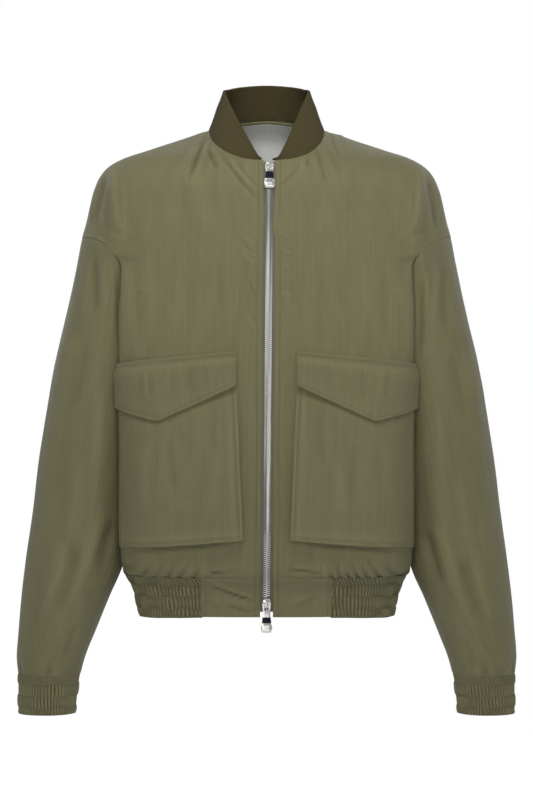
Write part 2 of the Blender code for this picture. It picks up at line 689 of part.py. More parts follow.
def panel_grid(side, hand=0):
    """Fractions and heights of a panel's points; hand is -1 or 1 for a front."""
    rows = panel_rows(side)
    net = NETS[side]
    fractions = []
    for height in rows:
        start = 0.0
        if side == "front" and height < NECK_FRONT.height + SAME_PLACE:
            start = (ZIP_OPENING + hand * zip_line(height)) / net.length(height)
        fractions.append(panel_columns(side, height, start))
    fractions = np.stack(fractions)
    drop = (panel_rows(side, at_side=True) - rows)[:, None]
    return fractions, rows[:, None] + drop * fractions**ROW_BEND


def sunk_at_armhole(points, net, fractions, heights):
    """A body panel's last column lies a little deeper where the sleeve joins it."""
    points = points.copy()
    for j, height in enumerate(heights[:, -1]):
        if UNDERARM - ROW_MARGIN <= height <= ARMHOLE_TOP + ROW_MARGIN:
            points[j, -1] -= net.normal(1.0, height) * SEAM / 2
    return points


def panel_points(side, hand, depth):
    """Points of a panel's outer face, or of its inner one at a depth."""
    fractions, heights = panel_grid(side, hand)
    points = NETS[side].at(fractions, heights, -depth)
    return sunk_at_armhole(points, NETS[side], fractions, heights)


def build_front(name, hand):
    outer = drawn_back(panel_points("front", hand, 0.0))
    inner = drawn_back(panel_points("front", hand, CLOTH))
    level_edge(outer, inner, 0, HEM_SEAM + SEAM / 2, CLOTH)
    if hand > 0:
        outer, inner = mirrored(outer), mirrored(inner)
    return wall(name, outer, inner)


def build_back():
    """Both halves of the back in one sheet, open at the neck."""
    rows = panel_rows("back")
    joined = rows <= NECK_BACK.height + SAME_PLACE
    grids = []
    for depth in (0.0, CLOTH):
        points = drawn_back(panel_points("back", 0, depth))
        points[joined, 0] = NETS["back"].at(0.0, rows[joined], -depth)
        points[joined, 0, 0] = 0
        grids.append(np.concatenate([mirrored(points), points], axis=1))
    level_edge(*grids, 0, HEM_SEAM + SEAM / 2, CLOTH)
    return wall("back", *grids, slit=HALF_COLUMNS["back"])


# ------------------------------------------------------------------ sleeves and cuffs


def armhole_point(angle, lift=0.0):
    side = "front" if math.sin(angle) >= 0 else "back"
    return NETS[side].at(1.0, armhole_height(angle), lift)


def armhole_normal(angle):
    side = "front" if math.sin(angle) >= 0 else "back"
    return NETS[side].normal(1.0, armhole_height(angle))


def sleeve_rows(places, angles):
    """Points of the sleeve; near its top they are drawn to the armhole seam."""
    seam = np.stack([armhole_point(a) for a in angles])
    first = ring_points(ring_between(0.0), angles)
    rows = []
    for place in places:
        share = 1 - smooth_step(place / ARMHOLE_REACH)
        ring = ring_points(ring_between(place), angles)
        outward = unit(ring - ring.mean(axis=0))
        lift = sleeve_lift(place, angles)[:, None]
        rows.append(ring + outward * lift + (seam - first) * share)
    return np.stack(rows)


def sleeve_normals(places, angles):
    step = 0.01
    across = sleeve_rows(places, angles + step) - sleeve_rows(places, angles - step)
    down = sleeve_rows(places + step, angles) - sleeve_rows(places - step, angles)
    normals = unit(np.cross(down, across))
    if places[0] == 0:
        panel = np.stack([armhole_normal(a) for a in angles])
        alike = (normals[0] * panel).sum(axis=-1, keepdims=True)
        alike = smooth_step((alike - PANEL_LEAN_FROM) / PANEL_LEAN_WIDTH)
        normals[0] = unit(normals[0] * (1 - alike) + panel * alike)
    return normals


def sleeve_angles(count):
    return np.linspace(0, 2 * math.pi, 2 * count + 1)


def build_sleeve(name, hand):
    angles = sleeve_angles(ARMHOLE_ROWS)
    places = CUFF_PLACE * np.linspace(0, 1, SLEEVE_ROWS + 1) ** SLEEVE_CROWDING
    points = sleeve_rows(places, angles)
    normals = sleeve_normals(places, angles)
    panel = np.stack([armhole_normal(a) for a in angles])
    against = np.clip(-(normals[0] * panel).sum(axis=-1, keepdims=True), 0, 1)
    outer = points.copy()
    outer[0] -= normals[0] * (SEAM / 2 + PIT_GAP * against)
    inner = outer - normals * CLOTH
    for grid in (outer, inner):
        grid[0] += unit(grid[1] - grid[0]) * SEAM
        grid[-1] += unit(grid[-2] - grid[-1]) * SEAM / 2
    if hand > 0:
        outer, inner = mirrored(outer), mirrored(inner)
    return wall(name, outer, inner, tube=True)


def gathered(rows_down, columns, depth):
    """How far each point of a gathered band stands out."""
    wave = (np.arange(columns) % 2)[None, :]
    share = spline([r.down for r in GATHER_ROWS], [r.share for r in GATHER_ROWS], rows_down)
    return depth * share[:, None] * wave


def build_cuff(name, hand):
    angles = sleeve_angles(CUFF_WAVES)
    down = np.array([r.down for r in GATHER_ROWS])
    heights = CUFF_SEAM + (CUFF_EDGE - CUFF_SEAM) * down
    table = [r.over_height for r in SLEEVE_RINGS]
    places = np.interp(-heights, [-h for h in table], np.arange(len(table)))
    points = sleeve_rows(places, angles)
    normals = sleeve_normals(places, angles)
    outer = points + normals * gathered(down, len(angles), CUFF_WAVE)[..., None]
    inner = points - normals * HEM_CLOTH
    for grid in (outer, inner):
        grid[0] += unit(grid[1] - grid[0]) * SEAM / 2
    if hand > 0:
        outer, inner = mirrored(outer), mirrored(inner)
    return wall(name, outer, inner, tube=True, inside_rows=())


# ------------------------------------------------------------------ hem


def girth(height, lift, distances):
    """Points round the body at a height, at distances from the middle of the front towards -X;
    past the side they run along the back, and past its middle along the other half."""
    front, back = NETS["front"].length(height), NETS["back"].length(height)
    lap = 2 * (front + back)
    points = []
    for distance, out in zip(distances, lift):
        near = min(distance, lap - distance)
        if near <= front:
            point = NETS["front"].at(near / front, height, out)
        else:
            point = NETS["back"].at(1 - (near - front) / back, height, out)
        if distance > lap / 2:
            point = point * np.array([-1, 1, 1])
        points.append(point)
    return np.stack(points)


def hem_heights(down):
    return HEM_SEAM + (HEM_EDGE - HEM_SEAM) * down


def build_hem_elastic():
    down = np.array([r.down for r in GATHER_ROWS])
    columns = 2 * HEM_WAVES + 1
    stand = gathered(down, columns, HEM_WAVE)
    outer, inner = [], []
    for height, lift in zip(hem_heights(down), stand):
        lap = 2 * (NETS["front"].length(height) + NETS["back"].length(height))
        distances = np.linspace(TAB_OUTER, lap - TAB_OUTER, columns)
        outer.append(girth(height, lift, distances))
        inner.append(girth(height, lift * 0 - HEM_CLOTH, distances))
    outer, inner = (drawn_back(np.stack(grid), rows=False) for grid in (outer, inner))
    smooth = inner - unit(inner - outer) * HEM_CLOTH
    level_edge(smooth, inner, 0, HEM_SEAM - SEAM / 2, HEM_CLOTH)
    outer[0, :, 2] = HEM_SEAM - SEAM / 2
    return wall("hem_elastic", outer, inner, inside_rows=(1,))


def build_hem_tab(name, hand):
    down = np.linspace(0, 1, TAB_ROWS)
    distances = np.linspace(TAB_INNER, TAB_OUTER, TAB_COLUMNS)
    grids = []
    for lift in (TAB_STAND, -HEM_CLOTH):
        rows = [girth(h, np.full(TAB_COLUMNS, lift), distances) for h in hem_heights(down)]
        grid = drawn_back(np.stack(rows), rows=False)
        grids.append(mirrored(grid) if hand > 0 else grid)
    level_edge(*grids, 0, HEM_SEAM - SEAM / 2, HEM_CLOTH + TAB_STAND)
    return wall(name, *grids)


# ------------------------------------------------------------------ collar, facing and lining


def neck_seam(turn):
    """The neck seam by turn in degrees, from 0 in front to 180 behind."""
    neck, side = (NECK_FRONT, "front") if turn <= 90 else (NECK_BACK, "back")
    cosine = max(abs(math.cos(math.radians(turn))), 1e-3)
    height = neck.height * cosine**NECK_DROP
    out, depth = neck_plan(neck, height)
    sign = -1 if side == "front" else 1
    rise = back_rise(np.float64(-out), np.float64(depth), height) if side == "back" else 0.0
    return np.array([-out, sign * depth, height + rise])


def collar_turns():
    front = np.linspace(0, 90, FRONT_NECK_ROWS + 1)
    back = np.linspace(90, 180, BACK_NECK_ROWS + 1)
    turns = np.concatenate([front, back[1:]])
    turns[0] = COLLAR_START
    return turns


def build_collar():
    turns = collar_turns()
    outer_rows, inner_rows = [], []
    base = np.stack([neck_seam(t) for t in turns])
    base[:, 2] += SEAM
    top = np.stack(
        [
            -column(COLLAR_TOP, "out", turns, "turn"),
            column(COLLAR_TOP, "depth", turns, "turn"),
            column(COLLAR_TOP, "height", turns, "turn"),
        ],
        axis=-1,
    )
    for share in np.linspace(0, 1, COLLAR_ROWS):
        outer_rows.append(base + (top - base) * share)
    outer = np.stack(outer_rows)
    along_neck = np.gradient(outer, axis=1)
    upward = (top - base)[None]
    normals = unit(np.cross(upward, along_neck))
    normals[:, -1, 0] = 0
    inner = outer - normals * RIB
    inner[0, :, 2] = outer[0, :, 2]
    grids = [np.concatenate([g, mirrored(g)[:, 1:]], axis=1) for g in (outer, inner)]
    return wall("collar", *grids)


def inside_back(name, heights, thickness):
    """A sheet that lies against the inside of the back, near the neck."""
    net = NETS["back"]
    grids = []
    for lift in (-CLOTH - LAY, -CLOTH - LAY - thickness):
        rows = []
        for height in heights:
            columns = panel_columns("back", height)
            columns = columns[columns <= LINING_REACH]
            rows.append(net.at(columns, height, lift))
        grid = np.stack(rows)
        grid[:, 0, 0] = 0
        grids.append(both_halves(grid))
    return wall(name, *grids)


def build_facing():
    heights = np.array([FACING_EDGE + SEAM, NECK_BACK.height - SEAM])
    return inside_back("neck_facing", heights, TAPE)


def build_lining():
    rows = panel_rows("back")
    below = rows[rows < FACING_EDGE - SEAM][-LINING_ROWS:]
    return inside_back("back_lining", np.concatenate([below, [FACING_EDGE - SEAM]]), TAPE)


# ------------------------------------------------------------------ pockets and flaps


def front_at(distances, heights, lifts):
    """Points on a front at distances along its rows from the middle."""
    net = NETS["front"]
    return net.at(distances / net.length(heights), heights, lifts)


def edge_distance(height):
    net = NETS["front"]
    return net.edge_fraction(height) * net.length(height) - EDGE_INSET


def pocket_lift(share, height):
    """How far the pocket stands out, by the share of the way from its inner to its outer edge."""
    down = smooth_step((FLAP_TOP_INNER - height) / (FLAP_TOP_INNER - POCKET_BOTTOM_INNER))
    deep = POCKET_DEPTH_TOP + (POCKET_DEPTH_BOTTOM - POCKET_DEPTH_TOP) * down
    flat = POCKET_DEPTH_TOP + (POCKET_DEPTH_OUTER - POCKET_DEPTH_TOP) * down
    return deep + (flat - deep) * smooth_step((share - POCKET_EDGE_FROM) / POCKET_EDGE_WIDTH)


def pocket_columns(height, inner, outer):
    """Distances of the pocket's columns: its two edges and the panel's columns between them."""
    length = NETS["front"].length(height)
    panel = panel_columns("front", height, ZIP_OPENING / length) * length
    return np.concatenate([[inner], panel[POCKET_COLUMNS], [outer]])


def pocket_grid(layer):
    """Points of the pocket's outer face (layer 0) or inner face (layer 1)."""
    inset = CLOTH * layer
    rows = []
    downs = np.concatenate([[0.0], np.linspace(GUSSET_SHARE, 1 - GUSSET_SHARE, POCKET_ROWS), [1.0]])
    for j, down in enumerate(downs):
        border_row = j in (0, len(downs) - 1)
        inner = POCKET_INNER_BOTTOM + (POCKET_INNER_TOP - POCKET_INNER_BOTTOM) * down
        guide = POCKET_BOTTOM_INNER + (POCKET_TOP - POCKET_BOTTOM_INNER) * down
        outer = edge_distance(guide)
        face = pocket_columns(guide, inner + inset + GUSSET, outer - inset - GUSSET)
        distances = np.concatenate([[inner + inset], face, [outer - inset]])
        share = (distances - distances[0]) / (distances[-1] - distances[0])
        bottom = POCKET_BOTTOM_INNER + (POCKET_BOTTOM_OUTER - POCKET_BOTTOM_INNER) * share + inset
        heights = bottom + (POCKET_TOP - inset - bottom) * down
        lifts = pocket_lift(share, heights) - inset
        lifts[[0, -1]] = LAY
        if border_row:
            lifts[:] = LAY
        rows.append(front_at(distances, heights, lifts))
    return np.stack(rows)


def build_pocket(name, hand):
    outer, inner = pocket_grid(0), pocket_grid(1)
    if hand > 0:
        outer, inner = mirrored(outer), mirrored(inner)
    return wall(name, outer, inner)


def flap_bottom(distance, outer):
    corners = (FLAP_INNER, FLAP_POINT, outer)
    return np.interp(distance, corners, (FLAP_INNER_BOTTOM, FLAP_POINT_HEIGHT, FLAP_OUTER_BOTTOM))


def flap_grid(clearance):
    rows = []
    for down in np.linspace(0, 1, FLAP_ROWS):
        guide = FLAP_TOP_INNER + (FLAP_POINT_HEIGHT - FLAP_TOP_INNER) * down
        outer = edge_distance(guide)
        outer += FLAP_OVERHANG_TOP + (FLAP_OVERHANG_BOTTOM - FLAP_OVERHANG_TOP) * down
        distances = pocket_columns(guide, FLAP_INNER, outer)
        distances = np.unique(np.concatenate([distances, [FLAP_POINT]]))
        share = (distances - FLAP_INNER) / (outer - FLAP_INNER)
        top = FLAP_TOP_INNER + (FLAP_TOP_OUTER - FLAP_TOP_INNER) * share
        heights = top + (flap_bottom(distances, outer) - top) * down
        over_pocket = smooth_step((top - heights) / FLAP_RISE)
        lifts = (pocket_lift(share, heights) + LAY) * over_pocket + 2 * LAY + clearance
        lifts += FLAP_SPRING * smooth_step((share - FLAP_SPRING_FROM) / (1 - FLAP_SPRING_FROM))
        rows.append(front_at(distances, heights, lifts))
    return np.stack(rows)


def build_flap(name, hand):
    outer, inner = flap_grid(HEM_CLOTH), flap_grid(0.0)
    if hand > 0:
        outer, inner = mirrored(outer), mirrored(inner)
    return wall(name, outer, inner)


# ------------------------------------------------------------------ zip


def chest_at(across, height, lift):
    """A point on the front at a signed distance from the middle, +X being positive."""
    point = front_at(np.float64(abs(across)), np.float64(height), lift)
    return point * np.array([-1 if across > 0 else 1, 1, 1])


def zip_heights(bottom, top):
    rows = panel_rows("front")
    hem = hem_heights(np.array([r.down for r in GATHER_ROWS]))
    rows = np.unique(np.concatenate([rows, hem]))
    between = rows[(rows > bottom + ZIP_ROW_MARGIN) & (rows < top - ZIP_ROW_MARGIN)]
    return np.concatenate([[bottom], between, [top]])


def zip_strip(name, edges, bottom, top, outer_lift, inner_lift):
    """A strip along the zip between two distances from its middle line."""
    heights = zip_heights(bottom, top)
    grids = [
        np.stack([[chest_at(zip_line(h) + e, h, lift) for e in edges] for h in heights])
        for lift in (outer_lift, inner_lift)
    ]
    return wall(name, *grids)


def build_zip_tape(name, hand):
    edges = sorted((hand * SEAM / 2, hand * ZIP_TAPE_WIDTH))
    outside = -HEM_CLOTH - LAY
    return zip_strip(name, edges, ZIP_BOTTOM, ZIP_TOP, outside, outside - TAPE)


def build_zip_chain():
    edges = (-CHAIN_HALF_WIDTH, CHAIN_HALF_WIDTH)
    return zip_strip("zip_chain", edges, CHAIN_BOTTOM, CHAIN_TOP, CHAIN_LIFT, -HEM_CLOTH)


def on_axle(piece, slider):
    """Puts a slider or a pull on the axle that both share, leaning with the front."""
    piece.location = axle_point(slider)
    piece.rotation_euler = (-math.atan(slider.lean), 0, 0)
    return piece


def axle_point(slider):
    across = zip_line(slider.height)
    on_front = chest_at(across, slider.height, 0.0)
    return (float(on_front[0]), float(on_front[1]) - AXLE_LIFT, slider.height)


def build_slider(slider):
    """A plate whose bridge holds the pull's axle. Two legs are drawn out of the plate, and the
    faces of theirs that meet are bridged."""
    width, depth, length = SLIDER_SIZE
    leg = BRIDGE_WIDTH / 2
    reach = BRIDGE_HALF_LENGTH
    across = (-width / 2, -leg, leg, width / 2)
    up = (-length / 2, -reach - BRIDGE_LEG, -reach, reach, reach + BRIDGE_LEG, length / 2)
    mesh = bmesh.new()
    bmesh.ops.create_grid(mesh, x_segments=3, y_segments=5, size=0.5)
    for vert in mesh.verts:
        column_place = round((vert.co.x + 0.5) * 3)
        row_place = round((vert.co.y + 0.5) * 5)
        vert.co = (across[column_place], PLATE_GAP, up[row_place])
    legs = [
        f
        for f in mesh.faces
        if abs(f.calc_center_median().x) < leg / 2
        and abs(abs(f.calc_center_median().z) - reach - BRIDGE_LEG / 2) < BRIDGE_LEG / 4
    ]
    back = bmesh.ops.extrude_face_region(mesh, geom=mesh.faces[:])
    for vert in (v for v in back["geom"] if isinstance(v, bmesh.types.BMVert)):
        vert.co.y += depth
    tips = legs
    for stand in (PLATE_GAP + BRIDGE_GAP, BRIDGE_BAR):
        drawn = bmesh.ops.extrude_discrete_faces(mesh, faces=tips)
        tips = drawn["faces"]
        for vert in {v for f in tips for v in f.verts}:
            vert.co.y -= stand
    outer_y = -BRIDGE_GAP - BRIDGE_BAR / 2
    facing = [
        f
        for f in mesh.faces
        if abs(f.calc_center_median().y - outer_y) < SAME_PLACE
        and abs(abs(f.calc_center_median().z) - reach) < SAME_PLACE
    ]
    edges = [e for f in facing for e in f.edges]
    bmesh.ops.delete(mesh, geom=facing, context="FACES_ONLY")
    bmesh.ops.bridge_loops(mesh, edges=edges)
    return on_axle(finish(slider.name + "_slider", mesh), slider)


def build_pull(slider):
    """A flat tab whose eye goes round the slider's bridge; its top bar is the axle."""
    grids = []
    for y in (-PULL_THICKNESS / 2, PULL_THICKNESS / 2):
        rows = []
        for row in PULL_ROWS:
            across = (-row.half_width, -PULL_EYE, PULL_EYE, row.half_width)
            rows.append([(x, y, -row.below * slider.pull_length) for x in across])
        grids.append(np.array(rows))
    piece = wall(slider.name + "_pull", *grids, window=(1, 1))
    return on_axle(piece, slider)


# ------------------------------------------------------------------ materials and assembly

Finish = namedtuple("Finish", "colour roughness metallic")
FINISHES = {
    "shell_nylon": Finish((0.135, 0.130, 0.072), 0.55, 0.0),
    "rib_knit": Finish((0.062, 0.052, 0.030), 0.85, 0.0),
    "lining_cotton": Finish((0.420, 0.420, 0.390), 0.80, 0.0),
    "zip_tape": Finish((0.075, 0.072, 0.042), 0.75, 0.0),
    "zip_metal": Finish((0.720, 0.710, 0.690), 0.28, 1.0),
}


def material_of(name, finish_name):
    """Each piece has a material of its own."""
    look = FINISHES[finish_name]
    material = bpy.data.materials.new(name + "_" + finish_name)
    material.use_nodes = True
    shader = material.node_tree.nodes["Principled BSDF"]
    shader.inputs["Base Color"].default_value = (*look.colour, 1.0)
    shader.inputs["Roughness"].default_value = look.roughness
    shader.inputs["Metallic"].default_value = look.metallic
    return material


def build_garment():
    """Every piece with the name of its finish."""
    pieces = []
    for side, hand in SIDES.items():
        pieces += [
            (build_front("front_" + side, hand), "shell_nylon"),
            (build_sleeve("sleeve_" + side, hand), "shell_nylon"),
            (build_cuff("cuff_" + side, hand), "shell_nylon"),
            (build_hem_tab("hem_tab_" + side, hand), "shell_nylon"),
            (build_pocket("pocket_" + side, hand), "shell_nylon"),
            (build_flap("flap_" + side, hand), "shell_nylon"),
            (build_zip_tape("zip_tape_" + side, hand), "zip_tape"),
        ]
    pieces += [
        (build_back(), "shell_nylon"),
        (build_hem_elastic(), "shell_nylon"),
        (build_collar(), "rib_knit"),
        (build_facing(), "shell_nylon"),
        (build_lining(), "lining_cotton"),
        (build_zip_chain(), "zip_metal"),
    ]
    for slider in SLIDERS:
        pieces += [(build_slider(slider), "zip_metal"), (build_pull(slider), "zip_metal")]
    return pieces


def main():
    for old in list(bpy.data.objects):
        bpy.data.objects.remove(old)
    for piece, finish_name in build_garment():
        piece.data.materials.append(material_of(piece.name, finish_name))


main()
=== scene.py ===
"""Looks of the bomber jacket: cloth shells with their creases, gathers, stitches and zip, over the
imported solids. +Z is up, the front faces -Y, the wearer's right sleeve is at -X. Metres."""

import math
from collections import namedtuple

import bmesh
import bpy
import numpy as np
from bpy.props import FloatProperty, FloatVectorProperty, PointerProperty
from mathutils import Matrix, Vector


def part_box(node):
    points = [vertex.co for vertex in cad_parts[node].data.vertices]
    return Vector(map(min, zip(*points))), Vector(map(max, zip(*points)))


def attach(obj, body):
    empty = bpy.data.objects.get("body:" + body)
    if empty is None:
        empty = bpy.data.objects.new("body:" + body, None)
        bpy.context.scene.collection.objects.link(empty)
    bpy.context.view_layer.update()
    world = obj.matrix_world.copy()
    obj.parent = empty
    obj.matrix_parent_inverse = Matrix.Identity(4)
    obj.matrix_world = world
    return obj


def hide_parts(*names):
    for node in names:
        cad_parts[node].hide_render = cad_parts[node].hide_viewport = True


bl_info = {
    "name": "Bomber Jacket",
    "version": (1, 0, 0),
    "blender": (4, 5, 0),
    "location": "View3D > Sidebar > Jacket",
    "description": "Dresses the jacket's solids in sewn cloth, rib knit and a metal zip",
    "category": "Object",
}

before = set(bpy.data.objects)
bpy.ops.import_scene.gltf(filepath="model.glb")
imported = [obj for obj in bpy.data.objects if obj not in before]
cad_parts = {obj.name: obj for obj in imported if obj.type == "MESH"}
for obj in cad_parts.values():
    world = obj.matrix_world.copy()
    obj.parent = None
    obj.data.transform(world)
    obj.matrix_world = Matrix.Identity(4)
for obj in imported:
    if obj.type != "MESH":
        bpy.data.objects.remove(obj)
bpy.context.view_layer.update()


def table(kind, rows):
    """Rows of numbers with the named columns of their kind."""
    return tuple(kind(*row) for row in rows)


# ------------------------------------------------------------------ sizes

CLOTH = 0.0015  # shell cloth
HEM_CLOTH = 0.0022  # folded cloth of the hem, the cuffs and the pocket flaps
RIB = 0.0024  # collar, two layers of rib knit
TAPE = 0.0010  # zip tape, neck tape and lining
SEAM = 0.0004  # gap between two pieces that are sewn together
LAY = 0.0004  # gap between a piece and what it lies on

HEM_SEAM = -0.5745  # height where the body meets the hem band
HEM_EDGE = -0.6250
UNDERARM = -0.2120
ARMHOLE_TOP = -0.1400
CUFF_SEAM = -0.7040
CUFF_EDGE = -0.7550

NECK_HALF_WIDTH = 0.0755
Neck = namedtuple("Neck", "depth height")
NECK_FRONT = Neck(0.1000, -0.0470)
NECK_BACK = Neck(0.0720, -0.0060)
NECK_DROP = 1.1  # exponent of the neck seam's curve from the front
NECK_PLAN = 2.5  # exponent of its curve from above
NECK_CORNER = 0.03  # the cosine of the turn at which it stops beside the shoulder seam
BACK_RISE = 0.0270  # how far the cloth rises again towards the back of the neck
BACK_RISE_DEPTH = 0.0700
BACK_RISE_WIDTH = 0.1500
BACK_RISE_HEIGHT = 0.1300
EDGE_TURN = 0.52  # share of its depth at which a section turns to its side

# Half the width of the body at each height; above ARMHOLE_TOP this is the shoulder seam.
OutlineRow = namedtuple("OutlineRow", "height half_width squareness")
OUTLINE = table(OutlineRow, (
    (-0.6270, 0.1648, 3.0), (-0.6100, 0.1688, 3.0), (-0.5970, 0.1716, 3.0), (-0.5840, 0.1775, 3.0),
    (-0.5730, 0.1850, 3.1), (-0.5600, 0.1898, 3.3), (-0.5400, 0.1915, 3.5), (-0.4800, 0.1920, 3.6),
    (-0.3800, 0.1935, 3.6), (-0.2800, 0.2010, 4.1), (-0.2300, 0.2090, 3.8), (-0.1950, 0.2185, 3.1),
    (-0.1830, 0.2225, 2.8), (-0.1720, 0.2300, 2.55), (-0.1650, 0.2400, 2.45),
    (-0.1400, 0.2392, 2.4), (-0.1240, 0.2347, 2.5), (-0.1030, 0.2295, 2.6), (-0.0770, 0.2230, 2.6),
    (-0.0610, 0.2160, 2.5), (-0.0510, 0.2080, 2.4), (-0.0445, 0.1995, 2.3), (-0.0378, 0.1860, 2.3),
    (-0.0262, 0.1515, 2.2), (-0.0130, 0.1120, 2.2), (0.0000, NECK_HALF_WIDTH, 2.2),
))

# Depth of the centre front and centre back lines.
CentrePoint = namedtuple("CentrePoint", "height depth")
CENTRE_FRONT = table(CentrePoint, (
    (-0.6270, 0.1010), (-0.6050, 0.1050), (-0.5840, 0.1100), (-0.5650, 0.1210), (-0.5400, 0.1290),
    (-0.4800, 0.1345), (-0.3800, 0.1350), (-0.2800, 0.1330), (-0.2000, 0.1285), (-0.1400, 0.1225),
    (-0.0950, 0.1150), (-0.0700, 0.1095), (-0.0560, 0.1045), (NECK_FRONT.height, NECK_FRONT.depth),
))
CENTRE_BACK = table(CentrePoint, (
    (-0.6270, 0.1010), (-0.6050, 0.1050), (-0.5840, 0.1105), (-0.5650, 0.1220), (-0.5400, 0.1310),
    (-0.4800, 0.1370), (-0.3800, 0.1410), (-0.2800, 0.1440), (-0.2000, 0.1450), (-0.1300, 0.1420),
    (-0.0800, 0.1320), (-0.0450, 0.1165), (-0.0200, 0.0950), (NECK_BACK.height, NECK_BACK.depth),
))

# One row for each ring of the sleeve: where it meets the overarm line and the underarm line.
SleeveRing = namedtuple(
    "SleeveRing", "over_out over_height under_out under_height middle half_depth"
)
SLEEVE_RINGS = table(SleeveRing, (
    (0.2392, ARMHOLE_TOP, 0.1520, UNDERARM, 0.0045, 0.0905),
    (0.2492, -0.1900, 0.1500, -0.2500, 0.0045, 0.0870),
    (0.2614, -0.2450, 0.1520, -0.2920, 0.0050, 0.0830),
    (0.2755, -0.3050, 0.1560, -0.3380, 0.0055, 0.0785),
    (0.2862, -0.3650, 0.1620, -0.3890, 0.0050, 0.0740),
    (0.2962, -0.4300, 0.1690, -0.4450, 0.0030, 0.0700),
    (0.3037, -0.4950, 0.1765, -0.5040, 0.0000, 0.0665),
    (0.3122, -0.5550, 0.1850, -0.5600, -0.0035, 0.0630),
    (0.3180, -0.6050, 0.2045, -0.6070, -0.0070, 0.0580),
    (0.3212, -0.6450, 0.2205, -0.6460, -0.0100, 0.0530),
    (0.3235, -0.6800, 0.2340, -0.6800, -0.0120, 0.0480),
    (0.3215, CUFF_SEAM, 0.2408, CUFF_SEAM, -0.0130, 0.0420),
    (0.3215, -0.7200, 0.2435, -0.7200, -0.0132, 0.0395),
    (0.3215, CUFF_EDGE, 0.2475, CUFF_EDGE, -0.0135, 0.0385),
))
ARMHOLE_LIFT = 0.0110  # how far the armhole seam rises at its front and back
ARMHOLE_DEPTH = {"front": 0.0860, "back": 0.0930}
SLEEVE_CLEARANCE = 0.0055  # between the sleeve and the side that it presses in
CLEARANCE_REACH = 0.0320  # how far below the underarm it has that size
PRESS_SOFTNESS = 0.0045
PRESS_SLOPE = 0.2  # how fast the press lets go beside the sleeve
PRESS_FADE = 0.0150  # and how far below the armhole's front it has its softness
FOLD_SOFTNESS = 40  # times that the net's rows are smoothed below the armhole
FOLD_FADE = 0.0300
CHEST_TOP, CHEST_LOW, CHEST_EDGE, CHEST_FADE = -0.0600, -0.3300, 0.1780, 0.0300  # its smooth face
CHEST_STEP, CHEST_SOFTNESS = 0.0020, 1200
SIDE_FADE = 0.25  # share of a row over which the smoothing fades towards the side
PANEL_LEAN_FROM, PANEL_LEAN_WIDTH = 0.3, 0.4  # how alike the sleeve and the panel lean there
PIT_GAP = 0.0006  # extra room at the armhole seam where the sleeve turns back on the body
ARMHOLE_REACH = 2.5  # rings of the sleeve that the armhole seam's shape reaches
CUFF_PLACE = 11  # the sleeve ring at the cuff's seam
SIDES = {"right": -1, "left": 1}  # the wearer's right is at -X

# Soft ridges in the body, in front and behind, from one place to another on it.
Ridge = namedtuple("Ridge", "side out height end_out end_height half_width lift")
RIDGES = table(Ridge, (
    ("front", 0.1950, -0.0450, 0.1850, -0.1650, 0.0180, 0.0045),
    ("front", 0.0950, -0.0450, 0.0700, -0.1500, 0.0240, 0.0022),
    ("back", 0.1950, -0.0500, 0.1750, -0.1560, 0.0200, 0.0045),
    ("back", 0.1150, -0.0900, 0.0600, -0.3300, 0.0300, 0.0030),
    ("back", 0.0900, -0.3800, 0.1300, -0.5300, 0.0280, 0.0028),
))
RIDGE_FADE = 0.0500  # how far from the side seam's middle plane they fade
RIDGE_RISE = 1.6  # how fast a ridge rises from its ends
# Soft ridges down a sleeve: turn in degrees from the overarm line, 90 in front.
SleeveRidge = namedtuple("SleeveRidge", "turn end_turn start end half_turn lift")
SLEEVE_RIDGES = table(SleeveRidge, (
    (30.0, 58.0, 0.6, 7.5, 24.0, 0.0026), (112.0, 95.0, 2.0, 10.5, 24.0, 0.0024),
    (-45.0, -70.0, 0.8, 8.0, 24.0, 0.0028), (-115.0, -95.0, 2.5, 10.0, 24.0, 0.0024),
))

# The plain tabs at the front of the hem, along it from the middle.
TAB_INNER, TAB_OUTER = 0.0080, 0.0815

# Collar: a rib band that tapers towards the zip. One row for each place round the neck.
CollarPlace = namedtuple("CollarPlace", "turn out depth height")
COLLAR_TOP = table(CollarPlace, (
    (4.5, 0.0078, -0.1005, -0.0455), (30.0, 0.0278, -0.0700, -0.0080),
    (60.0, 0.0466, -0.0330, 0.0310), (80.0, 0.0545, -0.0120, 0.0490),
    (90.0, 0.0560, 0.0020, 0.0520), (120.0, 0.0495, 0.0290, 0.0572),
    (150.0, 0.0285, 0.0500, 0.0628), (180.0, 0.0000, 0.0570, 0.0650),
    (210.0, -0.0285, 0.0500, 0.0628),
))
COLLAR_START = 5.0

# Inside the back of the neck.
FACING_EDGE = -0.0100
LINING_REACH = 0.80  # of the way from the middle to the shoulder seam

# Pockets and flaps. Distances run along the panel from the middle of the front.
POCKET_TOP, POCKET_BOTTOM_INNER, POCKET_BOTTOM_OUTER = -0.3130, -0.5262, -0.5392
POCKET_INNER_TOP, POCKET_INNER_BOTTOM = 0.0385, 0.0290
POCKET_DEPTH_TOP, POCKET_DEPTH_BOTTOM, POCKET_DEPTH_OUTER = 0.0035, 0.0150, 0.0045
POCKET_EDGE_FROM, POCKET_EDGE_WIDTH = 0.45, 0.50  # shares over which it sinks to its outer edge
GUSSET_SHARE = 0.010  # of the pocket's height, that its top and bottom walls take
GUSSET = 0.0020  # how far the pocket's side walls lean in
FLAP_TOP_INNER, FLAP_TOP_OUTER = -0.2890, -0.3060
FLAP_INNER, FLAP_INNER_BOTTOM = 0.0375, -0.3330
FLAP_POINT, FLAP_POINT_HEIGHT = 0.1330, -0.3770
FLAP_OUTER_BOTTOM = -0.3590
FLAP_OVERHANG_TOP, FLAP_OVERHANG_BOTTOM = -0.0040, 0.0015
FLAP_SPRING = 0.0012  # how far its outer edge stands off
FLAP_SPRING_FROM = 0.60
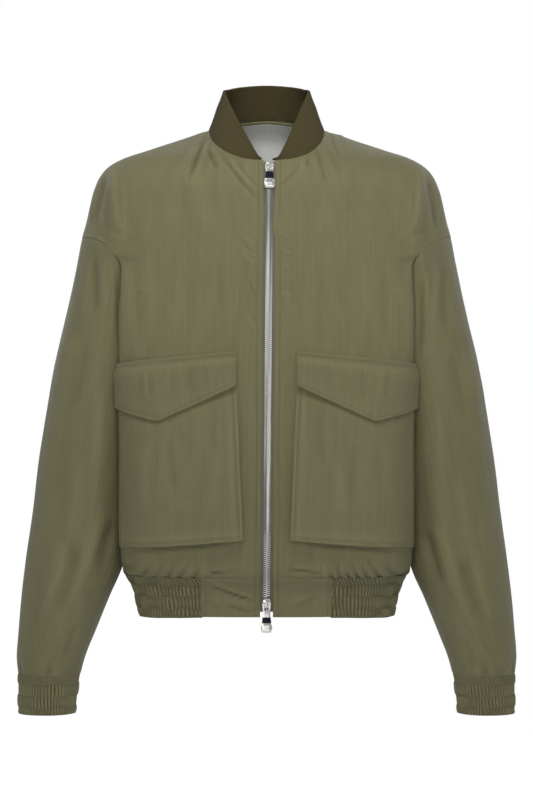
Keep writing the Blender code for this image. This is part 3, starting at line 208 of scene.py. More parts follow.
FLAP_RISE = 0.0130  # how far down it takes the flap to clear the pocket
EDGE_INSET = 0.0080  # from the body's edge to the pocket's and the flap's outer edge

# The zip and its two sliders.
ZIP_OPENING = 0.0075  # half the gap between the fronts
ZIP_DRIFT = 0.0038
ZIP_TAPE_WIDTH = 0.0140
ZIP_TOP, ZIP_BOTTOM = -0.0478, -0.6185
CHAIN_HALF_WIDTH = 0.0042
CHAIN_TOP, CHAIN_BOTTOM = -0.0616, -0.5995
Slider = namedtuple("Slider", "name height lean pull_length")
SLIDERS = (Slider("top", -0.0535, 0.28, 0.0310), Slider("bottom", -0.6065, 0.0, 0.0370))
SLIDER_SIZE = (0.0100, 0.0058, 0.0120)
AXLE_LIFT = 0.0062  # from the front's surface to the pull's axle
PLATE_GAP = 0.0015  # from the axle's middle to the slider's plate
BRIDGE_LEG = 0.0012
BRIDGE_HALF_LENGTH = 0.0036
# Half the pull's width at distances below its axle, as shares of its length.
PullRow = namedtuple("PullRow", "below half_width")
PULL_ROWS = table(PullRow, (
    (-0.026, 0.0050), (0.026, 0.0054), (0.160, 0.0053), (0.235, 0.0047), (0.300, 0.0046),
    (0.640, 0.0060), (0.930, 0.0065), (1.000, 0.0050),
))
PULL_EYE = 0.0025  # half the eye's width

# ------------------------------------------------------------------ mesh resolution

HALF_COLUMNS = {"front": 13, "back": 11}
FOLD_COLUMN = {"front": 8, "back": 6}  # the column that runs down the body's edge
BODY_ROWS = 9
SAME_PLACE = 1e-5
ROW_MARGIN = 0.0010  # rows this near to the armhole's ends belong to it
ROW_CROWDING, SLEEVE_CROWDING = 1.25, 1.1  # how much closer rows are near their first ones
ROW_BEND = 3.0  # how late across a panel its rows bend towards the armhole's points
ARMHOLE_ROWS = 8
FRONT_SHOULDER_ROWS, FRONT_NECK_ROWS = 4, 6  # below and above the neck seam's lowest point
BACK_SHOULDER_ROWS, BACK_NECK_ROWS = 7, 5
HEM_WAVES = 158
CUFF_WAVES = 58


# ------------------------------------------------------------------ fine detail

SEAM_GAP = 0.00005
SEAM_DIP = 0.0004  # how deep the cloth turns down into a seam
SEAM_REACH = 0.0025
ROW_STEP = 0.0034
FRONT_PARTS = (12,) + (6,) * 12  # finer columns in each of the front's own
BACK_PARTS = (6,) * 11
PLACKET = 0.0063  # from the front's edge to its topstitching
EDGE_STITCH = 0.0040

# Creases in a panel or sleeve, seen from the front or the back: a line in mm, how far it bows,
# its half width and how far it stands out or sinks.
Crease = namedtuple("Crease", "x z end_x end_z bow width lift")
FRONT_CREASES = {
    "right": table(Crease, (
        (-184, -543, -34, -530.5, 0, 2.6, -1.3), (-76, 6, -100, -76, -2, 2.4, -1.5),
        (-69, 4, -92, -72, -2, 3.2, 0.8), (-84, 4, -110, -66, -2, 3.6, 0.6),
        (-76, -26, -60, -62, 1, 2.2, -1.1), (-70, -24, -53, -60, 1, 2.6, 0.6),
        (-58, -34, -8, -100, 3, 2.0, -0.9), (-52, -32, -4, -94, 3, 2.6, 0.5),
        (-44, -40, -10, -82, 2, 1.8, -0.5), (-31, -144, -13, -154, 0, 2.2, 0.55),
        (-32, -150, -13, -166, 1, 2.2, -0.55), (-31, -163, -13, -181, 1, 2.4, 0.5),
        (-22, -194, -13, -225, 1, 2.4, -0.45), (-26, -240, -13, -262, 1, 2.6, 0.4),
        (-206, -56, -222, -132, 1, 5.0, -2.0), (-214, -66, -228, -118, 1, 3.0, 0.9),
        (-197, -52, -190, -136, 0, 3.6, 1.4), (-189, -60, -184, -140, 1, 4.0, -0.5),
        (-226, -108, -223, -130, 0, 2.4, -0.6), (-218, -112, -216, -133, 0, 2.2, -0.6),
        (-210, -112, -209, -134, 0, 2.6, 0.5), (-120, -70, -112, -170, 3, 9.0, 0.27),
        (-150, -120, -142, -260, 2, 7.0, 0.23), (-92, -130, -100, -270, -4, 10.0, -0.27),
        (-165, -170, -160, -270, 1, 4.0, -0.23), (-128, -190, -124, -280, 1, 4.0, -0.18),
        (-110, -200, -113, -282, 1, 3.6, 0.18), (-60, -180, -72, -278, 2, 7.0, 0.23),
        (-34, -563, -80, -568, 2, 1.6, 0.9), (-32, -566, -78, -571, 2, 1.5, -1.2),
        (-46, -559, -62, -563, 1, 1.5, 0.5), (-100, -545, -112, -572, 1, 3.2, 0.41),
        (-132, -548, -140, -572, 1, 3.4, 0.41),
    )),
    "left": table(Crease, (
        (182, -543, 34, -530.5, 0, 2.6, -1.3), (80, 6, 95, -46, 1, 2.2, -1.1),
        (90, 4, 114, -38, 1, 2.8, 0.7), (66, -24, 88, -80, -3, 2.8, 0.6),
        (60, -26, 74, -80, -2, 2.4, -0.8), (54, -44, 50, -56, 0, 2.4, -0.8),
        (46, -46, 13, -84, -2, 3.0, -0.7), (15, -140, 32, -146, 0, 2.2, 0.5),
        (15, -150, 30, -154, 0, 2.2, -0.5), (15, -160, 34, -166, 0, 2.4, 0.45),
        (15, -182, 30, -190, 0, 2.4, -0.4), (15, -214, 34, -220, 0, 2.4, 0.35),
        (189, -60, 184, -140, -1, 4.0, -0.5), (205, -56, 220, -134, -1, 5.0, -1.9),
        (214, -66, 228, -118, -1, 3.0, 0.9), (197, -52, 191, -136, 0, 3.6, 1.3),
        (226, -108, 224, -130, 0, 2.4, -0.6), (217, -112, 215, -133, 0, 2.4, -0.6),
        (108, -140, 96, -250, 4, 11.0, -0.32), (128, -120, 124, -270, -3, 8.0, 0.27),
        (156, -150, 158, -275, 1, 4.5, 0.23), (148, -180, 147, -280, 0, 3.6, -0.18),
        (172, -200, 168, -282, 0, 3.6, -0.18), (80, -170, 76, -276, 0, 7.0, 0.23),
        (24, -566, 72, -569, -2, 1.5, -1.0), (28, -562, 70, -565, -2, 1.7, 0.8),
        (92, -546, 104, -572, 1, 3.2, 0.41), (128, -548, 136, -572, 1, 3.4, -0.41),
    )),
}
BACK_CREASES = table(Crease, (
    (-58, -16, -92, -70, 3, 4.5, -1.3), (60, -18, 88, -66, -3, 4.5, -1.2),
    (-72, -20, -110, -78, 3, 5.5, 0.9), (74, -20, 108, -74, -3, 5.5, 0.8),
    (-200, -66, -214, -112, 1, 3.4, -1.2), (202, -64, 216, -110, -1, 3.4, -1.2),
    (-192, -70, -184, -160, 1, 5.0, 1.0), (190, -74, 184, -158, -1, 5.0, 1.0),
    (-224, -122, -220, -146, 0, 2.8, -1.3), (223, -120, 219, -148, 0, 2.8, -1.3),
    (-150, -150, -70, -190, 8, 8.0, -1.2), (148, -160, 76, -196, -8, 8.0, -1.1),
    (-130, -180, -60, -210, 6, 9.0, 1.0), (134, -186, 64, -214, -6, 9.0, 0.9),
    (-40, -90, -36, -260, 4, 9.0, 0.8), (52, -110, 44, -300, -4, 10.0, -0.7),
    (-96, -260, -120, -480, 5, 9.0, -1.0), (-112, -250, -136, -470, 5, 8.0, 0.9),
    (88, -280, 118, -500, -5, 9.0, -1.0), (106, -270, 134, -480, -5, 8.0, 0.9),
    (-20, -380, -34, -555, 3, 8.0, 0.9), (30, -360, 26, -560, -3, 8.0, -0.8),
    (-60, -520, -66, -572, 1, 4.5, 1.2), (64, -516, 72, -572, 1, 4.5, 1.2),
    (-104, -530, -110, -572, 1, 4.0, -1.2), (108, -526, 112, -572, 1, 4.0, 1.1),
    (-6, -530, -4, -572, 0, 4.0, 1.0), (-150, -520, -146, -572, 0, 4.5, 1.0),
    (150, -524, 148, -572, 0, 4.5, -1.0),
))
# In front and behind the sleeve, from the body outwards.
SLEEVE_CREASES = {
    "front": table(Crease, (
        (214, -156, 206, -252, 0, 7.0, 1.2), (224, -150, 222, -262, 1, 6.0, -1.2),
        (234, -158, 240, -280, 1, 8.0, 0.9), (196, -178, 190, -300, 0, 5.0, -1.2),
        (200, -170, 196, -250, 0, 4.0, 1.0), (248, -262, 271, -352, 2, 13.0, 1.4),
        (232, -268, 252, -380, 3, 10.0, -1.2), (216, -330, 224, -450, 2, 9.0, 0.9),
        (262, -390, 282, -500, 2, 12.0, -1.2), (240, -420, 258, -545, 3, 11.0, 1.2),
        (244, -530, 276, -636, 5, 11.0, -2.4), (262, -520, 292, -640, 5, 9.0, 1.2),
        (208, -492, 236, -590, -3, 10.0, 1.8), (196, -500, 218, -580, -2, 7.0, -1.4),
        (296, -560, 304, -660, 2, 9.0, -1.0), (232, -600, 254, -680, -2, 9.0, 1.2),
        (246, -640, 262, -692, -1, 6.0, -1.0),
    )),
    "back": table(Crease, (
        (212, -160, 204, -262, 0, 7.0, 1.4), (222, -156, 224, -270, 1, 7.0, -1.3),
        (236, -170, 246, -300, 1, 9.0, 1.0), (198, -182, 192, -300, 0, 5.0, -1.2),
        (252, -300, 276, -420, 3, 11.0, -1.3), (230, -320, 246, -450, 3, 10.0, 1.3),
        (206, -400, 250, -440, 5, 8.0, -1.4), (200, -430, 262, -470, 6, 9.0, 1.5),
        (204, -470, 258, -512, 6, 8.0, -1.5), (262, -480, 290, -600, 3, 11.0, 1.4),
        (240, -540, 270, -660, 4, 10.0, -1.8), (222, -560, 250, -660, 2, 9.0, 1.3),
        (290, -590, 302, -684, 2, 8.0, -1.0),
    )),
}
TAB_CREASES = {
    "right": table(Crease, (
        (-72, -583, -12, -604, 2, 1.5, -1.5), (-70, -579, -14, -600, 2, 2.2, 0.9),
        (-60, -604, -12, -620, 2, 1.7, -0.7), (-72, -600, -40, -609, 2, 4.0, 0.4),
    )),
    "left": table(Crease, (
        (30, -612, 66, -597, 2, 3.6, -0.35), (24, -606, 52, -594, 2, 4.0, 0.3),
        (18, -586, 60, -583, 1, 3.0, 0.25),
    )),
}
POCKET_CREASES = {
    "right": table(Crease, (
        (-150, -395, -154, -500, 2, 8.0, 0.8), (-120, -390, -112, -470, 2, 7.0, -0.6),
        (-70, -345, -66, -420, 1, 5.0, -0.5), (-60, -400, -74, -510, -2, 9.0, 0.7),
        (-90, -470, -140, -520, 4, 12.0, 0.6),
    )),
    "left": table(Crease, (
        (148, -395, 152, -490, -2, 8.0, 0.8), (112, -390, 106, -480, 2, 8.0, -0.6),
        (66, -350, 70, -440, 1, 5.0, -0.5), (84, -420, 96, -510, -2, 9.0, 0.7),
    )),
}
FLAP_CREASES = {
    "right": table(Crease, (
        (-146, -306, -142, -350, 1, 3.2, -0.4), (-152, -306, -149, -352, 1, 3.4, 0.35),
        (-158, -308, -157, -352, 0, 3.0, -0.35), (-122, -305, -126, -345, 1, 4.0, 0.25),
        (-92, -300, -96, -345, 1, 6.0, -0.25), (-62, -296, -66, -325, 1, 5.0, 0.2),
    )),
    "left": table(Crease, (
        (146, -306, 141, -348, 1, 3.4, 0.35), (153, -306, 150, -352, 1, 3.2, -0.4),
        (118, -304, 122, -350, 1, 5.0, -0.3), (84, -298, 88, -340, 1, 6.0, 0.25),
    )),
}
# Dents where a gathered band pinches the cloth above it: turn in degrees round the cuff.
Dent = namedtuple("Dent", "turn half_turn lift")
CUFF_DENTS = table(Dent, (
    (28, 7, -2.4), (44, 7, 1.4), (66, 8, -0.9), (92, 7, -2.6), (108, 8, 1.2), (134, 9, -1.4),
    (168, 8, 1.2), (196, 8, -1.6), (224, 9, 1.2), (250, 8, -2.0), (276, 9, 1.4), (302, 8, -1.6),
    (332, 9, 1.2),
))
# Rows of elastic stitching down a gathered band, as shares of its height.
HEM_SHIRRING = (0.0, 0.22, 0.49, 0.78, 1.0)
CUFF_SHIRRING = (0.0, 0.26, 0.56, 0.82, 1.0)
GATHER_PARTS = 8
SHIRR_PUFF = 0.0012
SHIRR_CREST, SHIRR_SHARE = -0.22, 0.5  # of a fold's depth, at an elastic row
PUFF_ROUNDNESS = 0.75  # below 1, the folds between puffs are sharp
HEM_GATHER = 0.0034
CUFF_GATHER = 0.0030

EASE_BELOW, EASE_ABOVE, EASE_POWER = 0.012, 0.055, 4
ARMHOLE_SHARE = 0.62  # rows beside the armhole are wider apart
HEM_REACH = 0.022  # how far above the hem its gathers reach
HEM_PINCH = 0.0036
PLACKET_DIP = 0.0004
POCKET_STITCH_DIP = 0.0004
GUSSET_BASE, GUSSET_FOLD = 0.0050, 0.0020  # how far a pocket's side walls stand in under its face
FLAP_STAND = 0.0045  # how far a flap's inner corner stands off
FACING_FOLD = -0.0088  # the lower edge of the facing that shows
FLAP_WIDTH = 0.140
FLAP_SLANT = 0.93  # the cosine of the flap's lower edges' slant
TAB_LIFT = 0.0004
SLEEVE_PARTS = 8
SLEEVE_FINE_ROWS = 165
BAND_ROWS = 27
COLLAR_FINE_COLUMNS = 110
THREAD = 0.00028  # a thread's radius
THREAD_SITS = 0.00012
FLAP_THREAD = 0.0013  # over the flap's inner face
SHIRR_THREAD = 0.0003
UNDERARM_STITCH = 148.0  # where the sleeve's stitched seam runs, as a turn in degrees
TOOTH_LAP = 0.0007
TOOTH_HEIGHT = 0.00118
INLAYS = {"top": (0.30, 0.60), "bottom": (0.48, 0.68)}
INLAY_BORDER = 0.0003

VIEW_DISTANCE = 3.6
VIEW_HEIGHT = -0.35035
VIEW_HALF_HEIGHT = 0.520
FLOOR_HEIGHT = -1.10
FLOOR_RADIUS = 2.6
FLOOR_GLOW = 0.25  # of the white that the camera sees
WORLD_LOW, WORLD_HIGH, WORLD_GLOSS = 0.20, 0.33, 1.00
# name, place, aim, size, spread in degrees, power
LIGHTS = (
    ("key", (0.0, -1.6, 1.3), (0, 0, -0.02), (0.6, 0.4), 36, 1.12),
    ("wide_key", (0.0, -1.9, 1.15), (0, 0, -0.18), (1.2, 0.6), 180, 3.4),
    ("front", (0.0, -2.5, -0.05), (0, 0, -0.10), (0.8, 0.6), 180, 17.5),
)

NECK_EASE = 8.0  # how closely the columns above the neck's low point keep to those below
RELIEF_SPAN, RELIEF_DEPTH = 0.0045, 0.0010  # hills this wide and high count as full relief
NECKLINE_LAP, NECKLINE_RISE = 0.0058, 0.0004  # the rib laps over the fronts at its corners
FLAP_SEAM_DIP = 0.0007
GLOSS_BANDS = (7.0, 3.0, 9.0)
NECKLINE_SLOPES = (0.90, 0.80, 0.63, 0.62, 0.50, 0.35)
CALM_SPAN, CALM_ROUNDS = 0.0110, 24
HEM_DROP = 0.0035
NECK_TUCK = 0.0016  # how far a front's shoulder end runs on under the collar
LEFT_FRONT_ASIDE = 0.0060  # how much further the collar's left front leans away
UNDER_FLAP_DIP, UNDER_FLAP, UNDER_FLAP_WIDTH = 0.0010, 0.0022, 0.0034  # depth, distance below it, width

# Half widths of the grooves along rows of stitches and seams.
STITCH_GROOVE, EDGE_GROOVE, TAB_GROOVE, FLAP_SEAM_GROOVE = 0.0016, 0.0014, 0.0012, 0.0010
TAB_END, TAB_END_DIP = 0.004, 0.0004  # the stitching beside a tab's outer end
TAB_HANG, TAB_HANG_FROM = 0.0006, 0.9  # how far a tab's lower edge turns in
POCKET_DRAPE, POCKET_SEED = 0.7, 4.0
# Steps between points in the middle and near the ends of each fine grid, and nominal lengths.
END_REACH = 0.007
TAB_STEPS, COLLAR_STEPS, POCKET_STEPS = (0.0028, 0.0014), (0.0035, 0.0007), (0.0036, 0.0016)
FLAP_STEPS_ACROSS, FLAP_STEPS_DOWN = (0.0034, 0.0016), (0.0032, 0.0014)
FLAP_LENGTH, POCKET_WIDTH, COLLAR_HEIGHT = 0.080, 0.150, 0.050
HEM_TRAVEL, HEM_LEAN, HEM_END_FADE = 0.95, 1.6, 0.004  # of the gathers, along the hem
CUFF_LEAN, CUFF_BLEND = 1.9, 0.12  # the blend is the turn over which the cuff's ends meet
PINCH_SPACING, PINCH_MIDDLE, PINCH_POWER = 0.0125, 0.6, 1.5
TUCK_SHARE = 0.85  # of the rib's rounding that each face takes
COLLAR_ROUND, COLLAR_SEAM_REACH, COLLAR_DRAPE = 0.0014, 0.003, 0.0006
COLLAR_LEAN_REACH = 60  # degrees from the front over which the left front leans away
LINING_COLUMNS, LINING_FOLD = 110, 0.017
TAPE_COLUMNS, TAPE_ROWS = 9, 150
TILT_STEP = 0.004  # distance over which a tooth's tilt is read
SLIDER_ROUND, PULL_ROUND, INLAY_ROUND = 0.0007, 0.0003, 0.00015
BRIDGE_RADIUS, BRIDGE_SINK, BRIDGE_STEPS = 0.0010, 0.0004, 12
INLAY_FRONT, INLAY_THICKNESS = 0.0013, 0.0007
HEM_EDGE_ROW, CUFF_EDGE_ROW = 0.975, 0.97  # the lowest row of stitches, as a share of the band
HEM_STITCH_POINTS, POCKET_STITCH_POINTS, CUFF_STITCH_POINTS = 900, 120, 300
# How gathers stray from even spacing: shares of a spacing, over a length, turned from row to row.
Bend = namedtuple("Bend", "amount length by_row phase")
PINCH_BENDS = table(Bend, ((0.35, 0.031, 0, 0), (0.25, 0.0173, 0, 1.1)))
PUFF_BENDS = table(Bend, ((0.22, 0.0113, 2.3, 0), (0.3, 0.029, 1, 0)))
PUFF_UNEVEN = Bend(0.26, 0.0081, 3.1, 1.0)
PUFF_SHIFT, PUFF_LEAN = 0.37, 0.12  # from row to row, and below the first row
PANEL_SEEDS, HAND_SEED, SLEEVE_SEED = {"front": 3.0, "back": 8.0}, 1.7, 5.0
BODY_TURN, DRAPE_SHARE = 0.15, 0.6  # how the body's turn and width count in its soft hills
BESIDE_TAB, BESIDE_TAB_FADE = 0.012, 0.02  # where the hem's pinches begin, from the tab's end
CALM_INNER, CALM_OUTER, CALM_OUTER_FADE = 0.15, 0.93, 0.2  # shares of a row
SIDE_CALM = 0.05  # the share of a row beside the side seam that has no creases
NECK_TUCK_HEIGHT, NECK_TUCK_FADE = 0.034, 0.012
SLEEVE_SHIFT = 0.004  # what sets the left sleeve's creases apart from the right one's
SLEEVE_EDGE_FADE, SLEEVE_TOP_FADE = 1.5, 0.9  # towards its outline and the armhole
DENT_REACH, DENT_FOOT, DENT_RISE = 0.026, 0.25, 6
LAP_FROM, LAP_RISE, LAP_TO, LAP_FALL = 8, 22, 84, 34  # degrees from the front
SLOPE_TURNS = (0, 20, 45, 70, 90, 180)
RELIEF_LEAST, RELIEF_ROUNDS = -1.2, 120
POCKET_WALL_ROWS = 6
FLAP_STAND_RISE, FLAP_STAND_WIDTH = 1.1, 0.35
# Across a tooth, from its head to its foot: place, share of its height, how far it stands out.
ToothRow = namedtuple("ToothRow", "place height stand")
TOOTH_ROWS = table(ToothRow, (
    (-TOOTH_LAP, 0.86, 0.0012), (TOOTH_LAP, 1.0, 0.0017),
    (0.0022, 1.0, 0.0011), (CHAIN_HALF_WIDTH, 0.86, 0.0007),
))
SLIDER_WAIST = (0.72, 0.94, 1.0, 1.0, 0.90, 0.58)  # shares of its width, from its foot up
# Rows of a pull from its eye down, as shares of its length, and half its thickness in mm.
PULL_DOWNS = (-0.026, 0.026, 0.13, 0.235, 0.30, 0.40, 0.50, 0.60, 0.70, 0.80, 0.88, 0.94, 0.98, 1.0)
ThickRow = namedtuple("ThickRow", "below half_mm")
PULL_THICK = table(ThickRow, (
    (-0.03, 0.8), (0.1, 1.2), (0.235, 0.8), (0.3, 0.95), (0.6, 1.0), (0.7, 1.0), (0.8, 1.6),
    (0.88, 1.0), (0.94, 1.5), (1.0, 0.7),
))
FOREARM_FROM = 5.2  # the sleeve ring at which the forearm's stitching starts
SENSOR = 36.0


# ------------------------------------------------------------------ the form


def spline(knots, values, at):
    """The smooth curve through the values at the rising knots, read at the places given."""
    knots = np.asarray(knots, float)
    values = np.asarray(values, float)
    slopes = np.gradient(values, knots)
    at = np.clip(at, knots[0], knots[-1])
    cell = np.clip(np.searchsorted(knots, at, side="right") - 1, 0, len(knots) - 2)
    width = knots[cell + 1] - knots[cell]
    t = (at - knots[cell]) / width
    return (
        (1 + 2 * t) * (1 - t) ** 2 * values[cell]
        + t * (1 - t) ** 2 * width * slopes[cell]
        + t * t * (3 - 2 * t) * values[cell + 1]
        + t * t * (t - 1) * width * slopes[cell + 1]
    )


def column(table, name, at, key="height"):
    """A named column of a table, read smoothly at heights between its rows."""
    rows = sorted(table, key=lambda row: getattr(row, key))
    return spline([getattr(r, key) for r in rows], [getattr(r, name) for r in rows], at)


def smooth_step(t):
    t = np.clip(t, 0, 1)
    return t * t * (3 - 2 * t)


def bell(distance, width):
    """1 at no distance, falling smoothly to nearly 0 at two widths."""
    return np.exp(-((distance / width) ** 2))


def unit(vectors):
    return vectors / np.maximum(np.linalg.norm(vectors, axis=-1, keepdims=True), 1e-12)


def reach_along(line):
    steps = np.linalg.norm(np.diff(line, axis=0), axis=1)
    return np.concatenate([[0], np.cumsum(steps)])


def along(line, fractions):
    """Points at fractions of a polyline's length."""
    reach = reach_along(line)
    at = np.asarray(fractions) * reach[-1]
    return np.stack([np.interp(at, reach, line[:, k]) for k in range(3)], axis=-1)


def ring_between(place):
    """The sleeve ring at a place in the table, where 1.5 is halfway between rows 1 and 2."""
    rows = np.arange(len(SLEEVE_RINGS))
    return SleeveRing(
        *(spline(rows, [getattr(r, name) for r in SLEEVE_RINGS], place) for name in SleeveRing._fields)
    )


def ring_places(heights):
    """Where sleeve rings at some heights stand in the table."""
    return np.interp(-heights, [-r.over_height for r in SLEEVE_RINGS], np.arange(len(SLEEVE_RINGS)))


def ring_points(ring, angle):
    """Points of a sleeve ring: 0 on the overarm line, 90 degrees in front, 180 under the arm."""
    out = (ring.over_out + ring.under_out) / 2 + (ring.over_out - ring.under_out) / 2 * np.cos(angle)
    height = (ring.over_height + ring.under_height) / 2
    height = height + (ring.over_height - ring.under_height) / 2 * np.cos(angle)
    return np.stack([-out, ring.middle - ring.half_depth * np.sin(angle), height], axis=-1)


def armhole_height(angle):
    middle = (ARMHOLE_TOP + UNDERARM) / 2
    return middle + (ARMHOLE_TOP - middle) * np.cos(angle) + ARMHOLE_LIFT * np.sin(angle) ** 2


def armhole_depth(height, side):
    """How far the armhole seam stands from the middle of the side, at a height."""
    middle = (ARMHOLE_TOP + UNDERARM) / 2
    half = ARMHOLE_TOP - middle
    root = np.sqrt(np.maximum(half**2 - 4 * ARMHOLE_LIFT * (height - middle - ARMHOLE_LIFT), 0))
    cosine = np.clip((half - root) / (2 * ARMHOLE_LIFT), -1, 1)
    return ARMHOLE_DEPTH[side] * np.sqrt(1 - cosine**2)


def pressed_in(points):
    """The body's side, pressed in by the sleeve that hangs against it."""
    x, y, z = points[..., 0], points[..., 1], points[..., 2]
    over = column(SLEEVE_RINGS, "over_out", z, "over_height")
    under = column(SLEEVE_RINGS, "under_out", z, "under_height")
    middle = column(SLEEVE_RINGS, "middle", z, "under_height")
    half_depth = column(SLEEVE_RINGS, "half_depth", z, "under_height")
    share = np.where(y < 0, -y / ARMHOLE_DEPTH["front"], y / ARMHOLE_DEPTH["back"])
    seam_height = armhole_height(math.pi - np.arcsin(np.clip(share, 0, 1)))
    below = np.clip((seam_height - z) / CLEARANCE_REACH, 0, 1)
    clear = SLEEVE_CLEARANCE * (1 - (1 - below) ** 2)
    share = np.clip(1 - ((y - middle) / (half_depth + clear)) ** 2, 0, 1)
    limit = (over + under) / 2 - ((over - under) / 2 + clear) * np.sqrt(share)
    beside = np.abs(y - middle) - half_depth - clear
    limit = np.where(share > 0, limit, limit + PRESS_SLOPE * beside)
    soft = PRESS_SOFTNESS * np.log1p(np.exp(-np.abs(-x - limit) / PRESS_SOFTNESS))
    top = armhole_height(math.pi / 2)
    out = np.minimum(-x, limit) - soft * smooth_step((top - z) / PRESS_FADE)
    return np.stack([-out, y, z], axis=-1)


def neck_plan(neck, height):
    """How far out and how deep the neck seam lies at a height above its lowest point."""
    turn = (height / neck.height) ** (1 / NECK_DROP)
    out = math.sqrt(1 - turn**2)
    return NECK_HALF_WIDTH * out, neck.depth * (1 - out**NECK_PLAN) ** (1 / NECK_PLAN)


def back_rise(x, y, height):
    near = smooth_step(y / BACK_RISE_DEPTH) * (1 - smooth_step(np.abs(x) / BACK_RISE_WIDTH))
    return BACK_RISE * near * smooth_step(1 + height / BACK_RISE_HEIGHT)


def section(height, side):
    """A level section of one half of the body, from its inner edge to the side or shoulder."""
    sign = 1 if side == "back" else -1
    neck = NECK_BACK if side == "back" else NECK_FRONT
    half_width = column(OUTLINE, "half_width", height)
    power = column(OUTLINE, "squareness", height)
    depth = column(CENTRE_BACK if side == "back" else CENTRE_FRONT, "depth", height)
    first, last = 0.0, math.pi / 2
    if height > neck.height:
        out, depth = neck_plan(neck, height)
        start = out / half_width
        depth /= (1 - start**power) ** (1 / power)
        first = math.asin(start ** (power / 2))
    if UNDERARM < height < ARMHOLE_TOP:
        last = math.acos((armhole_depth(height, side) / depth) ** (power / 2))
    angle = first + (last - first) * smooth_step(np.linspace(0, 1, 300))
    x = -half_width * np.abs(np.sin(angle)) ** (2 / power)
    y = sign * depth * np.abs(np.cos(angle)) ** (2 / power)
    points = np.stack([x, y, np.full_like(x, height)], axis=-1)
    if height < armhole_height(math.pi / 2):
        points = pressed_in(points)
    if side == "back":
        points[:, 2] += back_rise(x, y, height)
    return points


def ridge_lift(side, x, height):
    """How far the ridges of the front or the back stand out."""
    lift = np.zeros_like(x)
    for ridge in (r for r in RIDGES if r.side == side):
        down = (ridge.height - height) / (ridge.height - ridge.end_height)
        out = ridge.out + (ridge.end_out - ridge.out) * down
        near = smooth_step(1 - np.abs(np.abs(x) - out) / ridge.half_width)
        lift += ridge.lift * near * end_fade(down)
    return lift


def end_fade(down):
    """A ridge's height along it, from 0 at its ends to 1 in the middle."""
    return smooth_step(RIDGE_RISE * (1 - np.abs(2 * down - 1)))


def sleeve_lift(place, angle):
    """How far the ridges of a sleeve stand out."""
    lift = np.zeros_like(angle)
    for ridge in SLEEVE_RIDGES:
        down = (place - ridge.start) / (ridge.end - ridge.start)
        turn = math.radians(ridge.turn + (ridge.end_turn - ridge.turn) * down)
        away = np.degrees(np.arccos(np.cos(angle - turn)))
        near = smooth_step(1 - away / ridge.half_turn)
        lift += ridge.lift * near * end_fade(down)
    return lift


